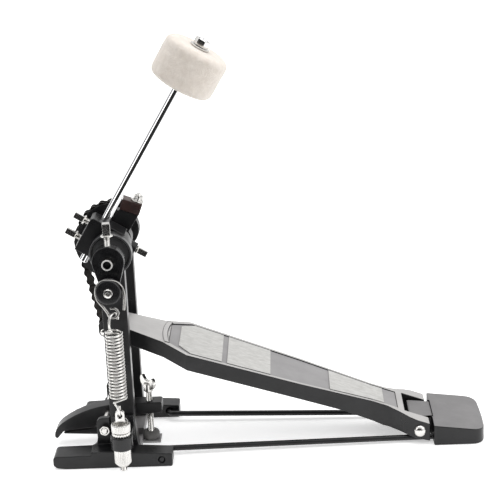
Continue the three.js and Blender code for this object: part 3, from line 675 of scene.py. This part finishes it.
def spring():
    """One wire: the lower hook, the coil and the upper hook."""
    x, y = SPRING
    coil = []
    count = COIL_TURNS * COIL_STEPS
    for i in range(count + 1):
        t = i / count
        a = -math.pi / 2 + 2 * math.pi * COIL_TURNS * t
        z = COIL_Z0 + (COIL_Z1 - COIL_Z0) * t
        coil.append((x + COIL_R * math.cos(a), y + COIL_R * math.sin(a), z))
    lower = [
        (x, y + 2.4, 66), (x, y + 3.1, 62.6), (x, y + 2.5, 59.3), (x, y, 57.6), (x, y - 2.5, 59.3),
        (x - 0.3, y - 3.1, 63), (x - 1.5, y - 3.0, 67), (x - 3.5, y - 3.2, 70.5),
        (x - 3.6, y - 5.6, 72.6),
    ]
    crook = [
        (-4.8, 141.8), (-5.2, 146), (-4.6, 150.2), (-2.2, 153.4), (1.6, 154.6), (5, 153.2),
        (6.8, 150), (6.6, 147.5),
    ]
    across, along = math.cos(HOOK_TURN), math.sin(HOOK_TURN)
    upper = [(x - 0.5, y - 6.6, 139.4)]
    upper += [(x + out * across, y + out * along, z) for out, z in crook]
    turns = [Vector(p) for p in coil[6:-6]]
    path = smooth_path(lower, 7)[:-1] + turns + smooth_path(upper, 7)[1:]
    low, high = (x * MM, y * MM, COIL_Z0 * MM), (x * MM, y * MM, COIL_Z1 * MM)
    build("spring_wire", "spring_coil", "spring_hook_lower", "spring_hook_upper",
          parts=[tube(path, 1.0, 10)], blend=("spring_lower", "spring_upper", low, high))


def stirrup():
    """The bent wire over the roller, curled into an eye for the spring's hook."""
    bow = [
        (12.4, 157.6), (13.2, 165), (13.3, 172), (11.8, 178.6), (8.4, 182.8), (4.4, 184.5),
        (0, 185.1), (-4.4, 184.8), (-8.4, 182.4), (-10.9, 177.9), (-11.4, 172), (-9.8, 166.5),
        (-5.4, 160.4),
    ]
    curl = arc(4.4, math.pi, 2.65 * math.pi, 15, (2.6, 154.5))
    points = [(x, ROLLER_Y, z) for x, z in bow]
    points += [(x, ROLLER_Y + 0.072 * i, z) for i, (x, z) in enumerate(curl)]
    path = smooth_path(points, 4)
    wire = build("stirrup_wire", "spring_stirrup", parts=[tube(path, 1.2, 12)])
    wire.data.materials[0] = drawn_wire()


def knurl(count, depth, rows):
    """A radius ripple for the profile rows that are knurled."""
    return lambda a, i: 1.0 + (depth * math.cos(count * a) if i in rows else 0.0)


def tension_parts():
    """The eye bolt through the bracket, with its cup nut, lock washer and thumb nut."""
    x, y = SPRING
    cup = [
        (3.4, 42.3), (7.6, 42.3), (8.3, 42.9), (8.3, 49.0), (7.9, 49.8), (7.4, 50), (6.8, 49.7),
        (6.5, 47.4), (3.4, 47.0), (3.4, 42.3),
    ]
    build("cup_nut", "tension_cup_nut",
          parts=[place(lathe(cup, 160, knurl(34, 0.045, (2, 3))), (x, y, 0))], sharp=60)
    nut = [
        (3.4, 9), (4.6, 9), (5.2, 9.4), (7.2, 12.2), (7.2, 24.6), (6.7, 25.7), (3.4, 25.7),
        (3.4, 9),
    ]
    build("tension_thumb_nut", "tension_nut",
          parts=[place(lathe(nut, 144, knurl(26, 0.06, (3, 4))), (x, y, 0))], sharp=60)
    washer = [(3.4, 38.4), (7.2, 38.4), (7.8, 39.1), (7.8, 41.4), (7.0, 42), (3.4, 42), (3.4, 38.4)]
    build("serrated_lock_washer", "serrated_washer",
          parts=[place(lathe(washer, 120, knurl(20, 0.06, (1, 2, 3))), (x, y, 0))], sharp=50)
    shank = [(0, 3.6), (2.3, 3.6), *thread(3.0, 4.4, 48, 1.0), (2.6, 49), (0, 49)]
    build("spring_eye_bolt_piece", "spring_eye_bolt",
          parts=[place(lathe(shank, 28), (x, y, 0)), eye_plate(x, y, 4.2)])


def eye_plate(x, y, half):
    """The flat eye: a round-topped plate, made as strips between its hole and its outline."""
    count = 40
    hole_r, hole_z, foot_z = 2.3, 57.5, 47.5
    rise, thick = 1.3, 1.45  # the round top's centre over the hole, and half the thickness
    bm = bmesh.new()
    rings = {}
    for depth in (-thick, thick):
        hole, edge = [], []
        for k in range(count):
            a = 2 * math.pi * k / count
            dx, dz = math.cos(a), math.sin(a)
            hole.append(bm.verts.new((x + hole_r * dx, y + depth, hole_z + hole_r * dz)))
            reach = half / max(abs(dx), 1e-6)
            if dz < 0:
                reach = min(reach, (hole_z - foot_z) / -dz)
            if reach * dz > rise or reach > 50:
                b = dz * rise
                reach = b + math.sqrt(max(b * b - rise ** 2 + half ** 2, 0))
            edge.append(bm.verts.new((x + reach * dx, y + depth, hole_z + reach * dz)))
        rings[depth] = (hole, edge)
    (h0, e0), (h1, e1) = rings[-thick], rings[thick]
    for k in range(count):
        n = (k + 1) % count
        bm.faces.new((h0[k], h0[n], e0[n], e0[k]))
        bm.faces.new((h1[k], e1[k], e1[n], h1[n]))
        bm.faces.new((e0[k], e0[n], e1[n], e1[k]))
        bm.faces.new((h0[k], h1[k], h1[n], h0[n]))
    bmesh.ops.recalc_face_normals(bm, faces=bm.faces)
    bevel(bm, 0.3, 2, 50)
    return bm


spring()
stirrup()
tension_parts()


# ---- Fasteners and round parts ---------------------------------------------------------

TILT = math.radians(31.3)
UP_ROD = Vector((math.sin(TILT), 0, math.cos(TILT)))
ACROSS = Vector((math.cos(TILT), 0, -math.sin(TILT)))
AXLE = Vector((0, 0, AXLE_Z))
BEATER_Y = -18.0
ROD_FOOT = AXLE - 17.5 * ACROSS + Vector((0, BEATER_Y, 0))


def key_bolt(name, node, seat, axis, shank, flange, head, length, spin):
    """A square-headed drum-key bolt: shank, flange with a soft rim, and a tall chamfered head."""
    profile = [
        (0, -shank), (2.2, -shank), *thread(2.6, -shank + 0.4, -0.6, 0.8, 0.3), (2.9, -0.3),
        (flange * 0.8, 0), (flange, 0.4), (flange, 1.2), (flange * 0.82, 1.75), (head * 0.5, 2.1),
        (0, 2.1),
    ]
    top = block(head, head, length, 0.55)
    bmesh.ops.translate(top, vec=(0, 0, 1.8 + length / 2), verts=top.verts)
    parts = [lathe(profile, 40), top]
    build(name, node, parts=[place(p, seat, axis, spin) for p in parts])


SMALL_HEAD = {"flange": 4.4, "head": 5.6, "length": 9.2}
LARGE_HEAD = {"flange": 5.4, "head": 7, "length": 10.5}
HOLDER_FACE = ROD_FOOT - 15.9 * ACROSS
HUB_FACE = AXLE + 21.3 * ACROSS + Vector((0, CHAIN_Y, 0))
ROCKER_TOP = (0, -62, AXLE_Z + 22.4)

key_bolt("rod_key_bolt_upper_piece", "rod_key_bolt_upper", HOLDER_FACE + 9.4 * UP_ROD, -ACROSS,
         shank=11.2, spin=0.2, **SMALL_HEAD)
key_bolt("rod_key_bolt_lower_piece", "rod_key_bolt_lower", HOLDER_FACE - 7.2 * UP_ROD, -ACROSS,
         shank=11.2, spin=0.12, **SMALL_HEAD)
key_bolt("hub_key_bolt_piece", "hub_key_bolt", HUB_FACE, ACROSS,
         shank=15, spin=-0.15, **SMALL_HEAD)
key_bolt("rocker_key_bolt_piece", "rocker_key_bolt", ROCKER_TOP, (0, 0, 1),
         shank=14, spin=0.12, **LARGE_HEAD)


def beater():
    """The rod, threaded at its top, with the felt's two washers and its nut."""
    rod = [(0, -25.8), (3.3, -25.8), (4, -25.0), (4, 196)]
    rod += [(3.9, 197), *thread(3.95, 197.2, 205.4, 1.0, 0.4), (3.0, 206.5), (0, 206.5)]
    build("beater_shaft", "beater_rod", parts=[place(lathe(rod, 48), ROD_FOOT, UP_ROD)])
    low = [
        (4.3, 155.6), (6.4, 155.6), (7, 156.2), (7, 158.1), (6.4, 158.7), (4.3, 158.7),
        (4.3, 155.6),
    ]
    build("felt_washer_lower_piece", "felt_washer_lower",
          parts=[place(lathe(low, 48), ROD_FOOT, UP_ROD)])
    top = [(4.3, 197.5), (8.6, 197.5), (9, 197.8), (9, 198.7), (8.6, 199), (4.3, 199), (4.3, 197.5)]
    build("felt_washer_upper_piece", "felt_washer_upper",
          parts=[place(lathe(top, 48), ROD_FOOT, UP_ROD)])
    build("felt_nut_piece", "felt_nut",
          parts=[place(hexagon(12.4, 199.3, 205.2, 4.3, 0.8), ROD_FOOT, UP_ROD, 0.3)])


LUMPS = 60
LUMP_SPREAD = 60.0  # square millimetres


def felt():
    """The felt head: a crowned drum with soft shoulders, slightly uneven like pressed wool."""
    z0, z1, r, soft = 159, 197.2, 29.6, 6.5
    profile = [(4.4, z0), (10, z0), (16, z0)]
    profile += arc(soft, -math.pi / 2, 0, 10, (r - soft, z0 + soft))
    profile += [(r + 0.25, z0 + soft + (z1 - z0 - 2 * soft) * t) for t in (0.2, 0.4, 0.6, 0.8)]
    profile += arc(soft, 0, math.pi / 2, 10, (r - soft, z1 - soft))
    profile += [(16, z1 - 0.1), (10, z1), (4.4, z1), (4.4, z0)]
    bm = lathe(profile, 120)
    rng = random.Random(7)
    lumps = [
        (rng.uniform(0, 2 * math.pi), rng.uniform(z0, z1), rng.uniform(-0.25, 0.3))
        for _ in range(LUMPS)
    ]
    for v in bm.verts:
        radius = math.hypot(v.co.x, v.co.y)
        if radius < 9:
            continue
        a = math.atan2(v.co.y, v.co.x)
        push = 0.0
        for b, z, size in lumps:
            far = (math.remainder(a - b, 2 * math.pi) * radius) ** 2 + (v.co.z - z) ** 2
            push += size * math.exp(-far / LUMP_SPREAD)
        push = max(min(push, 0.35), -0.5)
        v.co.x += push * math.cos(a)
        v.co.y += push * math.sin(a)
    piece = build("felt_beater_head", "beater_felt", parts=[place(bm, ROD_FOOT, UP_ROD)], sharp=60)


def roller():
    """The grooved wheel and the bolt it turns on."""
    side = [
        (3.4, 4.5), (9.6, 4.5), (10.6, 4.25), (11.2, 3.6), (11.3, 3.0), (10.9, 2.5), (7.2, 1.9),
        (6.8, 1.3),
    ]
    profile = [(r, -h) for r, h in side] + side[::-1] + [(3.4, -4.5)]
    build("roller_wheel", "roller",
          parts=[place(lathe(profile, 64), (0, ROLLER_Y, ROLLER_Z), (0, -1, 0))])
    bolt = [
        (0, 57), (3, 57), (3, 68.3), (4.8, 68.4), (4.8, 72.1), (3, 72.2), (3, 81.7), (4.2, 81.8),
        (4.5, 82.2), (4.4, 83.4), (3.7, 84.4), (2.2, 84.6), (2.0, 83.4), (0, 83.4),
    ]
    build("roller_bolt_piece", "roller_bolt",
          parts=[place(lathe(bolt, 40), (0, 0, ROLLER_Z), (0, -1, 0))])


def axle():
    """The shaft, its bore painted black as the shade in the hole, and a bright ring at its near end."""
    profile = [
        (0, -46), (4.4, -46), (5, -45.4), (5, 74.9), (4.7, 75.5), (3.9, 75.5), (3.6, 75.1),
        (3.6, 71.5), (0, 71.5),
    ]
    shaft = build("axle_shaft", "axle", parts=[place(lathe(profile, 48), AXLE, (0, -1, 0))])
    shaft.data.materials.append(MATERIALS["black_casting"])
    shaft.data.materials.append(turned_steel())
    ring_from = 75
    bore_from, bore_to, bore_radius = 70, 75.3, 3.7
    for face in shaft.data.polygons:
        depth = -face.center.y / MM
        radius = math.hypot(face.center.x / MM, face.center.z / MM - AXLE_Z)
        # Faces inside the bore take the black material: painted shade in the hole.
        if bore_from < depth < bore_to and radius < bore_radius:
            face.material_index = 1
        elif depth > ring_from:
            face.material_index = 2


def hinge_pin():
    """The footboard's hinge pin, domed at both ends."""
    dome = [(5.6, 36.5), (5.5, 37.3), (4.9, 38.4), (3.6, 39.3), (1.8, 39.8), (0, 39.9)]
    profile = [(r, -h) for r, h in reversed(dome)] + [(3, -36.4), (3, 36.4)] + dome
    lo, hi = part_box("hinge_pin")
    at = ((lo.x + hi.x) / 2 / MM, 0, (lo.z + hi.z) / 2 / MM)
    build("hinge_rivet_pin", "hinge_pin", parts=[place(lathe(profile, 48), at, (0, 1, 0))])


def clamp_fasteners():
    """The hoop clamp's pivot bolt and nut, and the pad under its wing screw."""
    pivot = (-16.4, 0, 31.5)
    shank = [(0, -49), (3, -49), (3, 46), *thread(3.0, 46.5, 53.6, 0.9, 0.3), (2.2, 54), (0, 54)]
    build("pivot_bolt", "clamp_pivot_bolt", parts=[
        place(lathe(shank, 32), pivot, (0, -1, 0)),
        place(hexagon(8.4, 47.3, 51.4, 0, 0.6), pivot, (0, 1, 0)),
    ])
    build("pivot_nut", "clamp_pivot_nut",
          parts=[place(hexagon(8.4, 47.3, 52.2, 3.3, 0.7), pivot, (0, -1, 0), 0.25)])
    foot = [
        (0, 2.3), (6.2, 2.3), (7.4, 2.6), (8, 3.6), (8, 6.6), (7.8, 8.0), (7.2, 9.3), (6.2, 10.0),
        (5.2, 10.2), (4.1, 10.2), (4.1, 4.4), (0, 4.4),
    ]
    pad = build("clamp_foot_cup", "clamp_foot", parts=[place(lathe(foot, 48), (*CLAMP_SCREW, 0))])
    pad.data.materials[0] = grey_rubber()


def wing_screw():
    """The threaded clamp screw with its two rounded wings."""
    x, y = CLAMP_SCREW
    screw = [
        (0, 5.4), (2.2, 5.4), *thread(3.0, 6.2, 49.5, 1.0), (4.2, 50), (4.6, 50.6), (4.6, 57.2),
        (4.0, 58), (0, 58),
    ]
    half = [
        (0, 51.2), (3.2, 51.2), (10.2, 55.6), (11.2, 58.5), (11.0, 61.8), (9.4, 64.6), (7.4, 64.9),
        (5.6, 62.6), (3.4, 61.0), (0, 60.6),
    ]
    outline = half + [(-px, pz) for px, pz in reversed(half[1:-1])]
    wing = slab(outline, -1.8, 1.8, 0.7, 3)
    spin = Matrix.Translation((x, y, 0)) @ Matrix.Rotation(-0.9, 4, "Z")
    bmesh.ops.transform(wing, matrix=spin, verts=wing.verts)
    build("wing_screw", "clamp_screw", parts=[place(lathe(screw, 32), (x, y, 0)), wing])


def chain_clamp_fasteners():
    """The stud, washer and nut that hold the chain's clamp block on the cam."""
    tilt = math.radians(21)
    up = Vector((math.sin(tilt), 0, math.cos(tilt)))
    foot = AXLE + 8 * Vector((math.cos(tilt), 0, -math.sin(tilt))) + Vector((0, CHAIN_Y, 0))
    stud = [
        (0, 18.5), (2.2, 18.5), (2.5, 19), (2.5, 39), *thread(2.5, 39.4, 47.4, 0.8, 0.3), (1.8, 48),
        (0, 48),
    ]
    build("chain_clamp_stud_piece", "chain_clamp_stud", parts=[place(lathe(stud, 28), foot, up)])
    washer = [(2.9, 40.5), (5.7, 40.5), (6, 40.7), (6, 41.4), (5.7, 41.6), (2.9, 41.6), (2.9, 40.5)]
    build("chain_clamp_nut_piece", "chain_clamp_nut", parts=[
        place(lathe(washer, 40), foot, up),
        place(hexagon(8.2, 41.4, 45.8, 2.8, 0.7), foot, up, 0.2),
    ])


def toe_pin():
    """The pin that joins the chain to the footboard's toe."""
    head = [
        (0, -16.4), (1.8, -16.4), (2, -16.1), (2, 2.2), (3.4, 2.3), (3.8, 2.8), (3.6, 4.0),
        (2.4, 4.9), (0, 5.1),
    ]
    build("toe_bolt", "toe_pin",
          parts=[place(lathe(head, 32), (TOE_PIN[0], 0, TOE_PIN[1]), (0, -1, 0))])


def link_rods():
    """The two rods from the base to the heel, each bent outwards into its rail."""
    for name, side in (("near", -1), ("far", 1)):
        heel, corner = (302, side * 27.5, 4.2), (41.6, side * 40, 6.7)
        steps = (0, 0.25, 0.5, 0.75, 0.97, 1)
        straight = [tuple(a + (b - a) * t for a, b in zip(heel, corner)) for t in steps]
        path = smooth_path([
            *straight, (38.2, side * 40.6, 6.7), (36.2, side * 42.6, 6.7), (35.6, side * 46, 6.7),
            (35.6, side * 55, 6.7), (35.6, side * 64, 6.7),
        ], 8)
        build(f"link_rod_{name}_piece", f"link_rod_{name}", parts=[tube(path, 2.65, 20)])


beater()
felt()
roller()
axle()
hinge_pin()
clamp_fasteners()
wing_screw()
chain_clamp_fasteners()
toe_pin()
link_rods()


# ---- Castings and mouldings ------------------------------------------------------------

# Each casting's edge rounding, in millimetres.
for node, width in {
    "foot_rail_near": 0.9, "foot_rail_far": 0.9, "base_bridge": 0.6, "lower_jaw": 0.5,
    "upright_near": 0.7, "upright_far": 0.7, "spring_bracket": 0.8, "clamp_lever": 1.0,
    "cam": 0.35, "beater_holder": 0.8, "spring_rocker": 0.7, "chain_clamp": 0.6, "cam_felt": 0.15,
    "grip_patch_toe": 0.12, "grip_patch_middle": 0.12, "grip_patch_heel": 0.12, "tread_plate": 0.15,
    "bracket_screw": 0.4, "clamp_sleeve_near": 0.3, "clamp_sleeve_far": 0.3,
    "bearing_near": 0.4, "bearing_far": 0.4,
}.items():
    refine(node, width)


def share_faces(piece, top, rest):
    """Upward faces take one of the piece's materials and all the others another, painting the lit tops apart
    from the shaded sides.
    """
    for face in piece.data.polygons:
        face.material_index = top if face.normal.z > UPWARD else rest


def footboard():
    """The board, black, with its upward faces painted bright as the highlight of their lit tops."""
    piece = refine("footboard", 0.7)
    piece.data.materials.append(LIT_TOP)
    # Upward faces take the bright metal and the sides stay black: painted light of the lit top.
    share_faces(piece, 1, 0)


def heel_plate():
    """The heel, its top faces painted grey as the highlight of their lit tops over the black casting, its
    rounded edges kept off the floor.
    """
    piece = refine("heel_plate", 1.2, 4)
    # Grey for the top faces only: the painted highlight of the lit top.
    piece.data.materials[0] = grey_top("heel_lit_top_grey", 0.175)
    piece.data.materials.append(MATERIALS["black_casting"])
    for vertex in piece.data.vertices:
        vertex.co.z = max(vertex.co.z, 0.0)
    share_faces(piece, 0, 1)


def housings():
    """The rounded lip round each bearing, with the dust seal over the bearing's face."""
    for name, side in (("near", -1), ("far", 1)):
        lo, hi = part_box(f"bearing_{name}")
        face = max(abs(lo.y), abs(hi.y)) / MM
        front = max(face + 0.15, 42.7)
        angles = [math.pi * i / 10 for i in range(11)]
        lip = [(16.5 + 1.35 * (1 - math.cos(a)), 44.6 + 1.45 * math.sin(a)) for a in angles]
        profile = [
            (6.3, front - 0.1), (6.5, front + 0.25), (12, front + 0.25), (16.4, front + 0.05), *lip,
            (19.2, 42.0), (19.15, 41.0), (18.4, 40.9), (16.5, face + 0.1), (6.3, face + 0.1),
            (6.3, front - 0.1),
        ]
        piece = build_extra(f"housing_lip_{name}", "base", "black_casting",
                            [place(lathe(profile, 72), (0, 0, AXLE_Z), (0, side, 0))])
        piece.data.materials[0] = SATIN


def tread_z(x):
    """The height of the tread's top at x."""
    return 63.3 + TREAD_SLOPE * (165 - x)


def tread_half(x):
    """Half the width of the tread's recess at x."""
    edges = ((64, 38.5), (165, 28.8), (232, 18.6), (252, 18.6))
    for (x0, y0), (x1, y1) in zip(edges, edges[1:]):
        if x <= x1:
            return y0 + (y1 - y0) * (x - x0) / (x1 - x0)
    return edges[-1][1]


def patch_shade_strips():
    """Black strips between the grip patches and the tread's raised rim: painted shadow of the gap there."""
    section = ((1.7, 0.85), (0.1, 0.85), (0.1, 0.06), (1.7, 0.06))  # in from the rim, and down
    for x0, x1 in ((66, 93.6), (98.4, 137.7), (192.3, 231.8)):
        for side, name in ((-1, "near"), (1, "far")):
            bm = bmesh.new()
            start, end = (
                [bm.verts.new((x, side * (tread_half(x) - inset), tread_z(x) - down))
                 for inset, down in section]
                for x in (x0, x1)
            )
            for k in range(4):
                n = (k + 1) % 4
                bm.faces.new((start[k], start[n], end[n], end[k]))
            bm.faces.new(start)
            bm.faces.new(list(reversed(end)))
            # Each strip is a black sheet of painted shadow beside a patch.
            piece = assemble(f"patch_shade_strip_{x0:.0f}_{name}", "black_casting", [bm])
            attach(piece, "footboard")


housings()
footboard()
patch_shade_strips()
heel_plate()


# ---- Floor, light and camera -----------------------------------------------------------

def floor():
    """Pale paper. It ends in front of the pedal, where upright metal would mirror it."""
    side, front, back = 4, -0.45, 7
    corners = ((-side, front, 0), (side, front, 0), (side, back, 0), (-side, back, 0))
    bm = bmesh.new()
    bm.faces.new([bm.verts.new(p) for p in corners])
    mesh = bpy.data.meshes.new("studio_floor")
    bm.to_mesh(mesh)
    bm.free()
    plane = bpy.data.objects.new("studio_floor", mesh)
    plane.location.z = -0.0002
    bpy.context.scene.collection.objects.link(plane)
    n = Nodes("floor_paper")
    n.colour(n.noise(3, 4), [(0.3, 0.90), (0.7, 0.93)])
    n.roughness(n.noise(8, 3), 0.85, 0.95)
    n.set(Specular_IOR_Level=0.1, Emission_Color=(1, 1, 1, 1), Emission_Strength=0.45)
    mesh.materials.append(n.material)


# The world's dark areas: direction, and the cosines where the dark starts and is complete.
DARK_AREAS = (
    ((-0.26, -0.955, -0.10), 0.66, 0.80),
    ((-0.955, 0, 0.30), 0.93, 0.965),
)
DARKEST = 0.03


def world():
    """Pale studio light, dark in two directions; what the camera sees directly stays pale."""
    w = bpy.data.worlds.new("studio")
    bpy.context.scene.world = w
    w.use_nodes = True
    tree = w.node_tree
    back = tree.nodes["Background"]
    coords = tree.nodes.new("ShaderNodeTexCoord")
    light = None
    for direction, start, end in DARK_AREAS:
        dot = tree.nodes.new("ShaderNodeVectorMath")
        dot.operation = "DOT_PRODUCT"
        dot.inputs[1].default_value = direction
        ramp = tree.nodes.new("ShaderNodeMapRange")
        ramp.inputs["From Min"].default_value = start
        ramp.inputs["From Max"].default_value = end
        ramp.inputs["To Min"].default_value = 1.0
        ramp.inputs["To Max"].default_value = DARKEST
        tree.links.new(coords.outputs["Generated"], dot.inputs[0])
        tree.links.new(dot.outputs["Value"], ramp.inputs["Value"])
        if light:
            darker = tree.nodes.new("ShaderNodeMath")
            darker.operation = "MINIMUM"
            tree.links.new(light, darker.inputs[0])
            tree.links.new(ramp.outputs["Result"], darker.inputs[1])
            light = darker.outputs["Value"]
        else:
            light = ramp.outputs["Result"]
    seen = tree.nodes.new("ShaderNodeMath")
    seen.operation = "MAXIMUM"
    tree.links.new(light, seen.inputs[0])
    tree.links.new(tree.nodes.new("ShaderNodeLightPath").outputs["Is Camera Ray"], seen.inputs[1])
    tree.links.new(seen.outputs["Value"], back.inputs["Color"])
    back.inputs["Strength"].default_value = 0.95


def area_light(name, at, aim, size, power):
    """A soft rectangular lamp pointed at a spot."""
    data = bpy.data.lights.new(name, "AREA")
    data.shape = "RECTANGLE"
    data.size, data.size_y = size
    data.energy = power
    lamp = bpy.data.objects.new(name, data)
    lamp.location = at
    lamp.rotation_euler = (Vector(aim) - Vector(at)).to_track_quat("-Z", "Y").to_euler()
    bpy.context.scene.collection.objects.link(lamp)


def camera():
    """The camera at the photograph's angle, slightly rolled."""
    azimuth, elevation, roll = math.radians(1.562), math.radians(17.444), math.radians(-2.59)
    flat = math.cos(elevation)
    forward = Vector((-math.sin(azimuth) * flat, math.cos(azimuth) * flat, -math.sin(elevation)))
    level = Vector((math.cos(azimuth), math.sin(azimuth), 0))
    upright = level.cross(forward)
    right = math.cos(roll) * level + math.sin(roll) * upright
    up = -math.sin(roll) * level + math.cos(roll) * upright
    data = bpy.data.cameras.new("photo_camera")
    data.lens = 110.485
    data.sensor_width = 36.0
    cam = bpy.data.objects.new("photo_camera", data)
    matrix = Matrix((right, up, -forward)).transposed().to_4x4()
    matrix.translation = Vector((159.892, -1344.518, 606.791)) * MM
    cam.matrix_world = matrix
    bpy.context.scene.collection.objects.link(cam)
    bpy.context.scene.camera = cam


floor()
world()
camera()
area_light("overhead", (0.15, 0.15, 1.7), (0.1, 0, 0.1), (1.8, 1.4), 13)
area_light("key_right", (1.5, -0.9, 1.1), (0.1, 0, 0.15), (0.9, 1.2), 7)
area_light("fill_left", (-1.5, -0.7, 0.9), (0.0, 0, 0.15), (0.9, 1.2), 5)
bpy.context.scene.view_settings.view_transform = "Standard"
